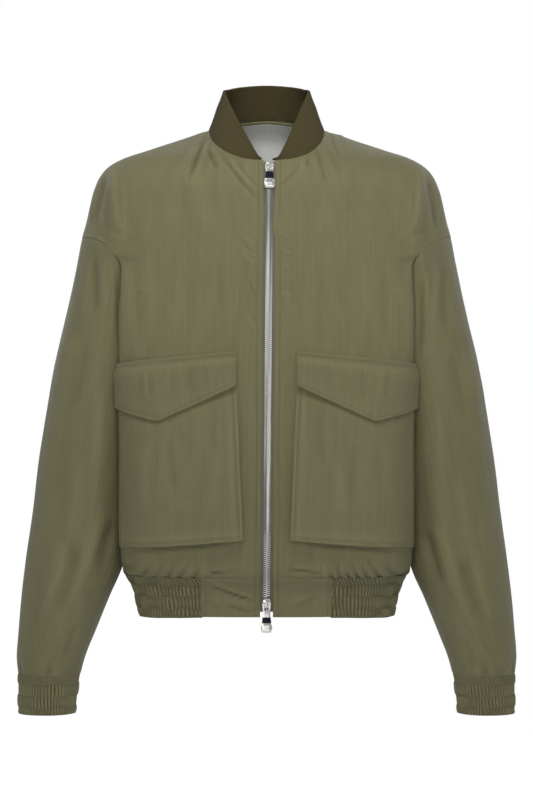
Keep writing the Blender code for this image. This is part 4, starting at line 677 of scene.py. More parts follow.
class Net:
    """One half of the front or the back as a dense net of points with outward normals. across is
    0 to 1 along a row from its inner edge; height names the row."""

    COLUMNS = 121

    def __init__(self, side):
        lower = np.linspace(OUTLINE[0].height, UNDERARM, 130)
        armhole = armhole_height(np.linspace(math.pi, 0, 60))
        neck = NECK_BACK if side == "back" else NECK_FRONT
        shoulder = shoulder_heights(neck.height, 70)
        around = neck_rows(neck, 50)
        self.heights = np.concatenate([lower, armhole[1:], shoulder[1:], around])
        fractions = np.linspace(0, 1, self.COLUMNS)
        self.points = np.stack([along(section(h, side), fractions) for h in self.heights])
        below = smooth_step((ARMHOLE_TOP - self.heights) / FOLD_FADE)
        for _ in range(FOLD_SOFTNESS):
            self.soften(below[:, None] * smooth_step((1 - fractions) / SIDE_FADE))
        self.even_out()
        lift = ridge_lift(side, self.points[..., 0], self.points[..., 2])
        lift *= smooth_step(np.abs(self.points[..., 1]) / RIDGE_FADE)
        self.points += self.outward(side) * lift[..., None]
        self.normals = self.outward(side)

    def outward(self, side):
        sign = -1 if side == "back" else 1
        across = np.gradient(self.points, axis=1)
        up = np.gradient(self.points, axis=0)
        return unit(sign * np.cross(up, across))

    def soften(self, shares):
        """Rounds the folds that run up the body once, by a share for each point."""
        bend = self.points[:, :-2] - 2 * self.points[:, 1:-1] + self.points[:, 2:]
        self.points[:, 1:-1] += shares[:, 1:-1, None] / 4 * bend

    def even_out(self):
        """Spreads the step in depth up and down the face of the body where it widens below the
        armhole."""
        even, places = np.arange(CHEST_LOW, CHEST_TOP, CHEST_STEP), np.arange(0, CHEST_EDGE, 0.005)
        fine = np.linspace(0, 1, 4 * self.COLUMNS)
        rows = [self.read(self.points, fine, h) for h in even]
        depth = np.stack([np.interp(places, np.maximum.accumulate(-row[:, 0]), row[:, 1]) for row in rows])
        smooth = depth.copy()
        for _ in range(CHEST_SOFTNESS):
            smooth[1:-1] += (smooth[:-2] - 2 * smooth[1:-1] + smooth[2:]) / 4
        ends = smooth_step((even - CHEST_LOW) / 0.05) * smooth_step((CHEST_TOP - even) / 0.05)
        change = (smooth - depth) * ends[:, None] * smooth_step((CHEST_EDGE - places) / CHEST_FADE)
        for k, height in enumerate(self.heights):
            if CHEST_LOW < height < even[-1]:
                moved = [np.interp(height, even, column) for column in change.T]
                self.points[k, :, 1] += np.interp(-self.points[k, :, 0], places, moved, right=0)

    def read(self, field, across, height):
        across, height = np.broadcast_arrays(np.asarray(across, float), np.asarray(height, float))
        y = np.interp(height, self.heights, np.arange(len(self.heights)))
        x = np.clip(across, 0, 1) * (self.COLUMNS - 1)
        j = np.clip(y.astype(int), 0, len(self.heights) - 2)
        i = np.clip(x.astype(int), 0, self.COLUMNS - 2)
        fy, fx = (y - j)[..., None], (x - i)[..., None]
        low = field[j, i] * (1 - fx) + field[j, i + 1] * fx
        high = field[j + 1, i] * (1 - fx) + field[j + 1, i + 1] * fx
        return low * (1 - fy) + high * fy

    def normal(self, across, height):
        return unit(self.read(self.normals, across, height))

    def at(self, across, height, lift=0.0):
        """Points of the net moved out along its normals by lift."""
        lifted = self.normal(across, height) * np.asarray(lift)[..., None]
        return self.read(self.points, across, height) + lifted

    def edge_fraction(self, height):
        """Where a row turns from the face of the body to its side."""
        row = self.read(self.points, np.linspace(0, 1, 200), height)
        depth = np.abs(row[:, 1]) / abs(row[0, 1])
        return 1 - np.interp(EDGE_TURN, depth[::-1], np.linspace(0, 1, 200))

    def length(self, height):
        lengths = np.linalg.norm(np.diff(self.points, axis=1), axis=2).sum(axis=1)
        return np.interp(height, self.heights, lengths)


def seam_heights(fractions):
    """Heights at fractions of the shoulder seam, from the armhole to the neck."""
    height = np.linspace(ARMHOLE_TOP, 0, 400)
    out = column(OUTLINE, "half_width", height)
    reach = reach_along(np.stack([out, height], axis=-1))
    return np.interp(fractions, reach / reach[-1], height)


def shoulder_heights(last, count):
    """Heights evenly up the shoulder seam, from the armhole to the last one."""
    fractions = np.linspace(0, 1, 400)
    reach = np.interp(last, seam_heights(fractions), fractions)
    heights = seam_heights(np.linspace(0, reach, count + 1))
    heights[-1] = last
    return heights


def neck_rows(neck, count):
    """Heights up the neck seam above its lowest point, evenly spaced round the neck."""
    cosine = np.cos(np.linspace(0, math.pi / 2, count + 1)[1:])
    return neck.height * np.maximum(cosine, NECK_CORNER) ** NECK_DROP


def share_normals(front, back):
    """Front and back walls meet edge to edge, so they lean the same way along their seams."""
    rows = (front.heights <= UNDERARM) | (front.heights >= ARMHOLE_TOP)
    mean = unit(front.normals[rows, -1] + back.normals[rows, -1])
    front.normals[rows, -1] = back.normals[rows, -1] = mean
    for net, neck in ((front, NECK_FRONT), (back, NECK_BACK)):
        centre = net.heights <= neck.height
        net.normals[centre, 0, 0] = 0
        net.normals[centre, 0] = unit(net.normals[centre, 0])


NETS = {"front": Net("front"), "back": Net("back")}
share_normals(NETS["front"], NETS["back"])


def level_edge(outer, inner, row, height, thickness):
    """Makes one end of a wall level: its rim lies in one plane, square to the wall from above."""
    around = np.gradient(outer[row], axis=0)
    across = unit(inner[row] - outer[row])
    flat = unit(np.stack([around[:, 1], -around[:, 0], 0 * around[:, 0]], axis=-1))
    flat *= np.sign((flat * across).sum(axis=-1, keepdims=True))
    outer[row, :, 2] = height
    inner[row] = outer[row] + flat * thickness


def drawn_back(points, columns=True, rows=True, by=SEAM / 2):
    """A grid of points with its border drawn back from the seams."""
    points = points.copy()
    if columns:
        points[:, 0] += unit(points[:, 1] - points[:, 0]) * by
        points[:, -1] += unit(points[:, -2] - points[:, -1]) * by
    if rows:
        points[0] += unit(points[1] - points[0]) * by
        points[-1] += unit(points[-2] - points[-1]) * by
    return points


def mirrored(points):
    return points[:, ::-1] * np.array([-1, 1, 1])


def handed(hand, *grids):
    """Grids as they are at the wearer's right, or mirrored for the left."""
    return [mirrored(grid) if hand > 0 else grid for grid in grids]


def both_halves(points):
    """A half's grid joined to its mirror image along the centre column."""
    return np.concatenate([points[:, ::-1], (points * np.array([-1, 1, 1]))[:, 1:]], axis=1)


def panel_rows(side, at_side=False):
    """Heights of a panel's rows from the hem seam to the side neck point, at their inner end or
    at the side, where those beside the armhole end at points that are even round it."""
    lower = HEM_SEAM + (UNDERARM - HEM_SEAM) * np.linspace(0, 1, BODY_ROWS + 1) ** ROW_CROWDING
    armhole = np.linspace(UNDERARM, ARMHOLE_TOP, ARMHOLE_ROWS + 1)
    if at_side:
        armhole = armhole_height(np.linspace(math.pi, 0, ARMHOLE_ROWS + 1))
    neck, rows, around = (
        (NECK_BACK, BACK_SHOULDER_ROWS, BACK_NECK_ROWS)
        if side == "back"
        else (NECK_FRONT, FRONT_SHOULDER_ROWS, FRONT_NECK_ROWS)
    )
    shoulder = shoulder_heights(neck.height, rows)
    if side == "back":
        shoulder = np.concatenate([shoulder_heights(FACING_EDGE, rows), [neck.height]])
    return np.concatenate([lower, armhole[1:], shoulder[1:], neck_rows(neck, around)])


def panel_columns(side, height, start=0.0):
    """Fractions across a row at which a panel has its columns; one runs down the body's edge."""
    count, fold_column = HALF_COLUMNS[side], FOLD_COLUMN[side]
    net = NETS[side]
    even = fold_column / count
    rise = smooth_step((height - UNDERARM) / (armhole_height(math.pi / 2) - UNDERARM))
    fold = net.edge_fraction(min(height, UNDERARM)) * (1 - rise) + even * rise
    inner = start + (fold - start) * np.linspace(0, 1, fold_column + 1)
    outer = fold + (1 - fold) * np.linspace(0, 1, count - fold_column + 1)
    return np.concatenate([inner, outer[1:]])


def zip_line(height):
    """How far the zip lies to the +X side of the middle; it drifts as it goes up."""
    return ZIP_DRIFT * np.clip((height - HEM_EDGE) / (NECK_FRONT.height - HEM_EDGE), 0, 1)


def sunk_at_armhole(points, net, heights):
    """A body panel's last column lies a little deeper where the sleeve joins it."""
    points = points.copy()
    for j, height in enumerate(heights[:, -1]):
        if UNDERARM - ROW_MARGIN <= height <= ARMHOLE_TOP + ROW_MARGIN:
            points[j, -1] -= net.normal(1.0, height) * SEAM / 2
    return points


def armhole_point(angle, lift=0.0):
    side = "front" if math.sin(angle) >= 0 else "back"
    return NETS[side].at(1.0, armhole_height(angle), lift)


def armhole_normal(angle):
    side = "front" if math.sin(angle) >= 0 else "back"
    return NETS[side].normal(1.0, armhole_height(angle))


def sleeve_rows(places, angles):
    """Points of the sleeve; near its top they are drawn to the armhole seam."""
    seam = np.stack([armhole_point(a) for a in angles])
    first = ring_points(ring_between(0.0), angles)
    rows = []
    for place in places:
        share = 1 - smooth_step(place / ARMHOLE_REACH)
        ring = ring_points(ring_between(place), angles)
        outward = unit(ring - ring.mean(axis=0))
        lift = sleeve_lift(place, angles)[:, None]
        rows.append(ring + outward * lift + (seam - first) * share)
    return np.stack(rows)


def sleeve_normals(places, angles):
    step = 0.01
    across = sleeve_rows(places, angles + step) - sleeve_rows(places, angles - step)
    down = sleeve_rows(places + step, angles) - sleeve_rows(places - step, angles)
    normals = unit(np.cross(down, across))
    if places[0] == 0:
        panel = np.stack([armhole_normal(a) for a in angles])
        alike = (normals[0] * panel).sum(axis=-1, keepdims=True)
        alike = smooth_step((alike - PANEL_LEAN_FROM) / PANEL_LEAN_WIDTH)
        normals[0] = unit(normals[0] * (1 - alike) + panel * alike)
    return normals


def hem_heights(down):
    return HEM_SEAM + (HEM_EDGE - HEM_SEAM) * down


def neck_seam(turn):
    """The neck seam by turn in degrees, from 0 in front to 180 behind."""
    neck, side = (NECK_FRONT, "front") if turn <= 90 else (NECK_BACK, "back")
    cosine = max(abs(math.cos(math.radians(turn))), 1e-3)
    height = neck.height * cosine**NECK_DROP
    out, depth = neck_plan(neck, height)
    sign = -1 if side == "front" else 1
    rise = back_rise(np.float64(-out), np.float64(depth), height) if side == "back" else 0.0
    return np.array([-out, sign * depth, height + rise])


def front_at(distances, heights, lifts):
    """Points on a front at distances along its rows from the middle."""
    net = NETS["front"]
    return net.at(distances / net.length(heights), heights, lifts)


def edge_distance(height):
    net = NETS["front"]
    return net.edge_fraction(height) * net.length(height) - EDGE_INSET


def pocket_lift(share, height):
    """How far the pocket stands out, by the share of the way from its inner to its outer edge."""
    down = smooth_step((FLAP_TOP_INNER - height) / (FLAP_TOP_INNER - POCKET_BOTTOM_INNER))
    deep = POCKET_DEPTH_TOP + (POCKET_DEPTH_BOTTOM - POCKET_DEPTH_TOP) * down
    flat = POCKET_DEPTH_TOP + (POCKET_DEPTH_OUTER - POCKET_DEPTH_TOP) * down
    return deep + (flat - deep) * smooth_step((share - POCKET_EDGE_FROM) / POCKET_EDGE_WIDTH)


def flap_bottom(distance, outer):
    corners = (FLAP_INNER, FLAP_POINT, outer)
    return np.interp(distance, corners, (FLAP_INNER_BOTTOM, FLAP_POINT_HEIGHT, FLAP_OUTER_BOTTOM))


def chest_at(across, height, lift):
    """A point on the front at a signed distance from the middle, +X being positive."""
    point = front_at(np.float64(abs(across)), np.float64(height), lift)
    return point * np.array([-1 if across > 0 else 1, 1, 1])


def axle_point(slider):
    across = zip_line(slider.height)
    on_front = chest_at(across, slider.height, 0.0)
    return (float(on_front[0]), float(on_front[1]) - AXLE_LIFT, slider.height)


# ------------------------------------------------------------------ cloth in fine detail


def finer(values, parts):
    """Values with each step between them cut into its number of parts."""
    steps = [np.arange(k, k + 1, 1 / p)[:p] for k, p in enumerate(parts)]
    at = np.concatenate(steps + [[len(parts)]])
    return np.interp(at, np.arange(len(values)), values)


def crease_lift(creases, x, height):
    """How far the creases lift each point of a piece seen from the front or the back."""
    depth = settings().crease_depth
    lift = np.zeros_like(x)
    for crease in creases:
        start_x, start_z = crease.x / 1000, crease.z / 1000
        run_x, run_z = crease.end_x / 1000 - start_x, crease.end_z / 1000 - start_z
        length = math.hypot(run_x, run_z)
        along_it = ((x - start_x) * run_x + (height - start_z) * run_z) / length**2
        aside = ((x - start_x) * run_z - (height - start_z) * run_x) / length
        aside = aside - crease.bow / 1000 * 4 * along_it * (1 - along_it)
        near = bell(aside, crease.width / 1000)
        lift += crease.lift / 1000 * near * end_fade(along_it)
    return lift * depth


def ripple(x, y, seed):
    """Soft uneven hills from -1 to 1, a few centimetres across."""
    turn = 2 * math.pi
    return (
        np.sin(turn * (x / 0.047 + 0.31 * seed) + 1.7 * np.sin(turn * (y / 0.210 + 0.17 * seed)))
        + np.sin(turn * (x / 0.083 - y / 0.310 + 0.53 * seed))
        + 0.8 * np.sin(turn * (x / 0.029 + y / 0.400) + 2.1 * np.sin(turn * y / 0.130 + seed))
    ) / 2.8


def seam_dip(distance):
    """The cloth turns down where it is sewn, within a short distance of the seam."""
    return -SEAM_DIP * (1 - smooth_step(distance / SEAM_REACH)) ** 2


def lengths_along(grid, axis):
    steps = np.linalg.norm(np.diff(grid, axis=axis), axis=2)
    pad = [(0, 0), (0, 0)]
    pad[axis] = (1, 0)
    return np.cumsum(np.pad(steps, pad), axis=axis)


def cloth_map(outer):
    """Places on the cloth in metres: along its rows, from the column nearest to the body's
    middle, and down its columns."""
    across = lengths_along(outer, 1)
    nearest = np.abs(outer[..., 0]).mean(axis=0).argmin()
    across = across - across[:, nearest][:, None]
    down = lengths_along(outer, 0).mean(axis=1)
    return across, np.broadcast_to(down[:, None], across.shape)


def relief(outer, inner, crest):
    """How far each point stands above or below the cloth round it, from -1 to 1."""
    smooth = outer.copy()
    for axis in (0, 1):
        step = np.linalg.norm(np.diff(outer, axis=axis), axis=2).mean()
        turned = np.moveaxis(smooth, axis, 0)
        for _ in range(int(np.clip(2 * (RELIEF_SPAN / step) ** 2, 2, RELIEF_ROUNDS))):
            turned[1:-1] += (turned[:-2] - 2 * turned[1:-1] + turned[2:]) / 4
    height = ((outer - smooth) * unit(outer - inner)).sum(axis=2)
    return np.clip(height / RELIEF_DEPTH, RELIEF_LEAST, crest)


def pushed(mesh):
    """The new corners after all faces of a mesh have been extruded."""
    extruded = bmesh.ops.extrude_face_region(mesh, geom=mesh.faces[:])
    return [v for v in extruded["geom"] if isinstance(v, bmesh.types.BMVert)]


def mesh_data(name, mesh):
    data = bpy.data.meshes.new(name)
    mesh.to_mesh(data)
    mesh.free()
    return data


def cloth(name, outer, inner, tube=False, slit=None, crest=0.5):
    """A closed wall of cloth: a grid moved to its outer points and extruded to its inner ones."""
    rows, columns = outer.shape[:2]
    across, down = cloth_map(outer)
    mesh = bmesh.new()
    row_of = mesh.verts.layers.int.new("row")
    column_of = mesh.verts.layers.int.new("column")
    place = mesh.loops.layers.uv.new("cloth")
    # Each outer point's relief, capped at crest, is stored for the material's painted shade where the cloth
    # dips and painted highlight on its crests.
    painted_shading_layer = mesh.verts.layers.float.new("relief")
    reliefs = relief(outer, inner, crest).tolist()
    bmesh.ops.create_grid(mesh, x_segments=columns - 1, y_segments=rows - 1, size=0.5)
    for vert in mesh.verts:
        column_at = round((vert.co.x + 0.5) * (columns - 1))
        row_at = round((vert.co.y + 0.5) * (rows - 1))
        vert[column_of], vert[row_of] = column_at, row_at
        vert.co = outer[row_at, column_at]
        vert[painted_shading_layer] = reliefs[row_at][column_at]
        for loop in vert.link_loops:
            loop[place].uv = (across[row_at, column_at], down[row_at, column_at])
    joined = (0, columns - 1) if tube else ()
    if slit is not None:
        joined = (slit, slit + 1)
        between = [f for f in mesh.faces if {v[column_of] for v in f.verts} == set(joined)]
        bmesh.ops.delete(mesh, geom=between, context="FACES")
    ends = [v for v in mesh.verts if v[column_of] in joined]
    bmesh.ops.remove_doubles(mesh, verts=ends, dist=SAME_PLACE)
    for vert in pushed(mesh):
        vert.co = inner[vert[row_of], vert[column_of]]
        vert[painted_shading_layer] = 0.0
    return made(name, mesh)


def made(name, mesh, sharp=0.9):
    """A mesh as an object whose faces point out, smooth but for its sharp edges."""
    bmesh.ops.recalc_face_normals(mesh, faces=mesh.faces[:])
    if mesh.calc_volume(signed=True) < 0:
        bmesh.ops.reverse_faces(mesh, faces=mesh.faces[:])
    for face in mesh.faces:
        face.smooth = True
    for edge in mesh.edges:
        edge.smooth = edge.calc_face_angle(0.0) < sharp
    data = mesh_data(name, mesh)
    old = bpy.data.objects.get(name)
    if old:
        bpy.data.objects.remove(old)
    piece = bpy.data.objects.new(name, data)
    bpy.context.scene.collection.objects.link(piece)
    return piece


def sewn(name, outer, inner, node, slot, flat, held, material, **how):
    """A cloth wall in its place: it rides on the garment and stands for its solid."""
    piece = cloth(name, outer, inner, **how)
    piece.data.materials.append(material)
    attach(piece, "garment")
    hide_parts(node)
    return piece


# ------------------------------------------------------------------ body panels


def fine_panel(side, hand):
    """Fractions and heights of a panel's points in fine detail."""
    net = NETS[side]
    neck_low = (NECK_FRONT if side == "front" else NECK_BACK).height
    rows, at_side = panel_rows(side), panel_rows(side, at_side=True)
    steps = [net.read(net.points, 1.0, h) for h in at_side]
    gaps = np.linalg.norm(np.diff(np.stack(steps), axis=0), axis=1)
    parts = np.ceil(gaps / ROW_STEP).astype(int)
    armhole = slice(BODY_ROWS, BODY_ROWS + ARMHOLE_ROWS)
    parts[armhole] = np.ceil(parts[armhole] * ARMHOLE_SHARE)
    rows, at_side = finer(rows, parts), finer(at_side, parts)
    fractions = []
    for height in rows:
        start = 0.0
        if side == "front" and height < NECK_FRONT.height + SAME_PLACE:
            start = (ZIP_OPENING + hand * zip_line(height)) / net.length(height)
        columns = panel_columns(side, height, start)
        fractions.append(finer(columns, FRONT_PARTS if side == "front" else BACK_PARTS))
    fractions = neck_eased(np.stack(fractions), np.searchsorted(rows, neck_low + SAME_PLACE) - 1)
    heights = rows[:, None] + (at_side - rows)[:, None] * fractions**ROW_BEND
    return eased(net, fractions, heights), heights, rows


def neck_eased(fractions, last):
    """Fractions above a row that keep in line with it away from the neck's edge."""
    below = fractions[last]
    inward = (below - below[0]) / (1 - below[0])
    for row in fractions[last + 1:]:
        gap = max(row[0] - below[0], 1e-6)
        power = min(max(0.7 * (1 - below[0]) / gap, 1.0), NECK_EASE)
        row[:] = below + gap * (1 - inward) ** power
    return fractions


def eased(net, fractions, heights):
    """Fractions whose points keep in line up and down where a row's length jumps at the armhole."""
    low, high = ARMHOLE_TOP - EASE_BELOW, ARMHOLE_TOP + EASE_ABOVE
    lengths = net.length(heights)
    share = smooth_step((heights - low) / (high - low))
    even = net.length(low) + (net.length(high) - net.length(low)) * share
    ratio = np.where((heights > low) & (heights < high), even / lengths, 1.0)
    return fractions * ratio + (1 - ratio) * fractions**EASE_POWER


def wander(distance, bends, row=0):
    """How far gathers stray from even spacing, by the distance along an edge and their row."""
    return sum(b.amount * np.sin(distance / b.length + b.by_row * row + b.phase) for b in bends)


def gather_fold(distance, spacing):
    """An uneven wave along a gathered edge, from 0 to 1."""
    turn = 2 * math.pi * (distance / spacing + wander(distance, PINCH_BENDS))
    return 0.5 + 0.5 * np.cos(turn)


def panel_lift(side, hand, points, heights):
    """How far a body panel's creases lift its points, which lie on its -X half."""
    out = points[..., 0] * (-1 if hand > 0 else 1)
    creases = FRONT_CREASES["left" if hand > 0 else "right"] if side == "front" else BACK_CREASES
    lift = crease_lift(creases, out, points[..., 2])
    away = np.arctan2(np.abs(points[..., 0]), np.abs(points[..., 1])) * BODY_TURN
    seed = PANEL_SEEDS[side] + HAND_SEED * hand
    across = away + np.abs(points[..., 0]) * DRAPE_SHARE
    lift += settings().drape * ripple(across, points[..., 2], seed)
    above = np.clip((heights - HEM_SEAM) / HEM_REACH, 0, 1)
    beside = smooth_step((np.abs(points[..., 0]) - TAB_OUTER + BESIDE_TAB) / BESIDE_TAB_FADE)
    if side == "back":
        beside = 1.0
    pinch = gather_fold(np.abs(points[..., 0]) + 0.6 * np.abs(points[..., 1]) + seed, PINCH_SPACING)
    lift += HEM_PINCH * (pinch - PINCH_MIDDLE) * beside * (1 - above) ** PINCH_POWER
    return lift


def panel_dips(side, points, rows):
    """Dips along a panel's seams, from each point's distance to its edges."""
    down = lengths_along(points, 0)
    across = lengths_along(points, 1)
    dips = seam_dip(across[:, -1:] - across)
    dips += seam_dip(down)
    above = (rows > (NECK_FRONT if side == "front" else NECK_BACK).height)[:, None]
    dips += np.where(above, seam_dip(across), 0)
    return dips


def calmed(points, normals, fractions, rows):
    """Points and normals evened out up and down near the rows where the net's columns turn."""
    near = [bell(rows - h, CALM_SPAN) for h in (NECK_FRONT.height, ARMHOLE_TOP)]
    inward = (fractions - fractions[:, :1]) / (1 - fractions[:, :1])
    shares = np.max(near, axis=0)[:, None] * smooth_step(inward / CALM_INNER)
    shares = shares * smooth_step((CALM_OUTER - inward) / CALM_OUTER_FADE)
    for grid in (points, normals):
        for _ in range(CALM_ROUNDS):
            grid[1:-1] += shares[1:-1, :, None] * (grid[:-2] - 2 * grid[1:-1] + grid[2:]) / 4
    return points, unit(normals)


def panel_sheets(side, hand):
    """The outer and inner points of a body panel's -X half."""
    net = NETS[side]
    fractions, heights, rows = fine_panel(side, hand)
    points, normals = calmed(net.at(fractions, heights), net.normal(fractions, heights), fractions, rows)
    lift = panel_lift(side, hand, points, heights)
    lift *= smooth_step(np.clip((1 - fractions) / SIDE_CALM, 0, 1))
    if side == "front":
        across = lengths_along(points, 1)
        below = (rows < NECK_FRONT.height + SAME_PLACE)[:, None]
        lift -= np.where(below, PLACKET_DIP * bell(across - PLACKET, STITCH_GROOVE), 0)
    lift += panel_dips(side, points, rows)
    sheets = []
    for depth in (0.0, CLOTH):
        sheet = points + normals * (lift - depth)[..., None]
        sheets.append(sunk_at_armhole(sheet, net, heights))
    return sheets, rows


def make_front(side, hand):
    (outer, inner), rows = panel_sheets("front", hand)
    outer, inner = drawn_back(outer, by=SEAM_GAP), drawn_back(inner, by=SEAM_GAP)
    tuck = NECK_TUCK * smooth_step((rows + NECK_TUCK_HEIGHT) / NECK_TUCK_FADE)[:, None]
    for grid in (outer, inner):
        grid[:, 0] -= unit(grid[:, 1] - grid[:, 0]) * tuck
    level_edge(outer, inner, 0, HEM_SEAM + SEAM_GAP, CLOTH)
    return sewn(
        "front_cloth_" + side, *handed(hand, outer, inner), "front_" + side, "shell_nylon",
        (0.335, 0.640), "hung", shell_material(),
    )


def make_back():
    halves = {}
    for hand in (-1, 1):
        sheets, rows = panel_sheets("back", hand)
        halves[hand] = [drawn_back(sheet, by=SEAM_GAP) for sheet in sheets]
        joined = rows <= NECK_BACK.height + SAME_PLACE
        for depth, sheet in zip((0.0, CLOTH), halves[hand]):
            centre = NETS["back"].at(0.0, rows[joined], np.full(joined.sum(), -depth))
            sheet[joined, 0] = centre
            sheet[joined, 0, 0] = 0
    grids = [np.concatenate([mirrored(halves[1][k]), halves[-1][k]], axis=1) for k in (0, 1)]
    level_edge(*grids, 0, HEM_SEAM + SEAM_GAP, CLOTH)
    columns = sum(BACK_PARTS)
    return sewn(
        "back_cloth", *grids, "back", "shell_nylon", (0.660, 0.650), "hung", shell_material(), slit=columns
    )


# ------------------------------------------------------------------ sleeves and cuffs


def sleeve_surface(places, angles, hand):
    """Points, normals and creases of a sleeve's -X version."""
    points = sleeve_rows(places, angles)
    normals = sleeve_normals(places, angles)
    front = points[..., 1] < np.array([ring_between(p).middle for p in places])[:, None]
    out, height = np.abs(points[..., 0]), points[..., 2]
    shift = SLEEVE_SHIFT * hand
    seen = np.abs(np.sin(angles))[None, :] ** 0.5
    lift = np.where(
        front,
        crease_lift(SLEEVE_CREASES["front"], out - shift, height + 2 * shift),
        crease_lift(SLEEVE_CREASES["back"], out + shift, height - 3 * shift),
    )
    lift *= smooth_step(seen * SLEEVE_EDGE_FADE)
    lift += settings().drape * ripple(out * 0.7 + 0.5 * points[..., 1], height, SLEEVE_SEED + hand)
    return points, normals, lift * smooth_step(places / SLEEVE_TOP_FADE)[:, None]


def cuff_dents(angles, heights):
    """Pinches above the cuff's seam."""
    lift = np.zeros((len(heights), len(angles)))
    for dent in CUFF_DENTS:
        away = np.degrees(np.arccos(np.cos(angles - math.radians(dent.turn))))
        lift += dent.lift / 1000 * bell(away, dent.half_turn)[None, :]
    above = np.clip((heights - CUFF_SEAM) / DENT_REACH, 0, 1)[:, None]
    return lift * (1 - smooth_step(above)) * (DENT_FOOT + (1 - DENT_FOOT) * smooth_step(above * DENT_RISE))


def make_sleeve(side, hand):
    angles = np.linspace(0, 2 * math.pi, 2 * ARMHOLE_ROWS * SLEEVE_PARTS + 1)
    places = CUFF_PLACE * np.linspace(0, 1, SLEEVE_FINE_ROWS + 1) ** SLEEVE_CROWDING
    points, normals, lift = sleeve_surface(places, angles, hand)
    heights = points[..., 2].mean(axis=1)
    lift = lift + cuff_dents(angles, heights)
    down = lengths_along(points, 0)
    lift += seam_dip(down) + seam_dip(down[-1:] - down)
    panel = np.stack([armhole_normal(a) for a in angles])
    against = np.clip(-(normals[0] * panel).sum(axis=-1, keepdims=True), 0, 1)
    outer = points + normals * lift[..., None]
    outer[0] -= normals[0] * PIT_GAP * against
    inner = outer - normals * CLOTH
    for grid in (outer, inner):
        grid[0] += unit(grid[1] - grid[0]) * SEAM_GAP
        grid[-1] += unit(grid[-2] - grid[-1]) * SEAM_GAP
    return sewn(
        "sleeve_cloth_" + side, *handed(hand, outer, inner), "sleeve_" + side, "shell_nylon",
        (0.480, 0.585), "hung", shell_material(), tube=True,
    )


def gathers(distance, down, shirring, spacing, lean):
    """The puffs of a shirred band, from 0 to 1: folds that shift a little at each elastic row."""
    row = np.clip(np.searchsorted(shirring, down, side="right") - 1, 0, len(shirring) - 2)
    edges = np.asarray(shirring)
    into = (down - edges[row]) / (edges[row + 1] - edges[row])
    belly = np.sin(math.pi * np.clip(into, 0, 1)) ** 0.5
    shift = row * PUFF_SHIFT + lean * np.where(row == 0, 1.0, PUFF_LEAN) * (into - 0.5)
    bend = wander(distance, PUFF_BENDS, row)
    wave = np.abs(np.cos(math.pi * (distance / spacing + shift + bend))) ** PUFF_ROUNDNESS
    uneven = 1 - PUFF_UNEVEN.amount + wander(distance, (PUFF_UNEVEN,), row)
    return belly, wave * uneven


def band_lift(distance, down, shirring, spacing, lean, depth):
    belly, wave = gathers(distance, down, shirring, spacing, lean)
    at_row = SHIRR_CREST + SHIRR_SHARE * (wave - 1)
    return SHIRR_PUFF + depth * (belly * (wave - 1) + (1 - belly) * at_row)


def make_cuff(side, hand):
    count = CUFF_WAVES * GATHER_PARTS
    angles = np.linspace(0, 2 * math.pi, count + 1)
    down = np.linspace(0, 1, BAND_ROWS)
    heights = CUFF_SEAM + (CUFF_EDGE - CUFF_SEAM) * down
    places = ring_places(heights)
    points = sleeve_rows(places, angles)
    normals = sleeve_normals(places, angles)
    girth_at = lengths_along(points, 1)
    girth_at = girth_at / girth_at[:, -1:] * girth_at[0, -1]
    spacing = girth_at[0, -1] / CUFF_WAVES
    lift = np.stack([
        band_lift(girth_at[k], down[k], CUFF_SHIRRING, spacing, CUFF_LEAN * hand, CUFF_GATHER)
        for k in range(len(down))
    ])
    blend = smooth_step(np.minimum(angles, 2 * math.pi - angles) / CUFF_BLEND)
    lift = lift * blend + lift.mean() * (1 - blend)
    lift[0] = np.minimum(lift[0], 0)
    outer = points + normals * lift[..., None]
    inner = points - normals * HEM_CLOTH
    for grid in (outer, inner):
        grid[0] += unit(grid[1] - grid[0]) * SEAM_GAP
    return sewn(
        "cuff_cloth_" + side, *handed(hand, outer, inner), "cuff_" + side, "shell_nylon",
        (0.360, 0.105), "gathered", shell_material(), tube=True, crest=1.1,
    )


# ------------------------------------------------------------------ hem


def lap_length(height):
    """The whole way round the body at a height."""
    return 2 * (NETS["front"].length(height) + NETS["back"].length(height))


def round_body(height, lift, distances):
    """Points round the body at a height, at distances from the middle of the front towards -X;
    past the side they run along the back, and past its middle along the other half."""
    front, back = NETS["front"].length(height), NETS["back"].length(height)
    lap = lap_length(height)
    near = np.minimum(distances, lap - distances)
    ahead = NETS["front"].at(np.clip(near / front, 0, 1), height, lift)
    behind = NETS["back"].at(np.clip(1 - (near - front) / back, 0, 1), height, lift)
    points = np.where((near <= front)[:, None], ahead, behind)
    points[distances > lap / 2, 0] *= -1
    return points


def make_hem_elastic():
    down = np.linspace(0, 1, BAND_ROWS)
    count = HEM_WAVES * GATHER_PARTS + 1
    outer, inner = [], []
    for share, height in zip(down, hem_heights(down)):
        lap = lap_length(height)
        distances = np.linspace(TAB_OUTER, lap - TAB_OUTER, count)
        travel = np.linspace(0, 1, count) * HEM_TRAVEL
        lift = band_lift(travel, share, HEM_SHIRRING, HEM_TRAVEL / HEM_WAVES, HEM_LEAN, HEM_GATHER)
        if share == 0:
            lift = np.minimum(lift, 0)
        ends = smooth_step(np.minimum(travel, HEM_TRAVEL - travel) / HEM_END_FADE)
        outer.append(round_body(height, lift * ends, distances))
        inner.append(round_body(height, lift * 0 - HEM_CLOTH, distances))
    outer, inner = (drawn_back(np.stack(grid), rows=False, by=SEAM_GAP) for grid in (outer, inner))
    for grid in (outer, inner):
        grid[0, :, 2] = HEM_SEAM - SEAM_GAP
        grid[..., 2] -= HEM_DROP * down[:, None] * np.minimum(np.abs(grid[..., 0]) / 0.15, 1) ** 2
    return sewn(
        "hem_elastic_cloth", outer, inner, "hem_elastic", "shell_nylon",
        (1.300, 0.105), "gathered", shell_material(), crest=1.1,
    )


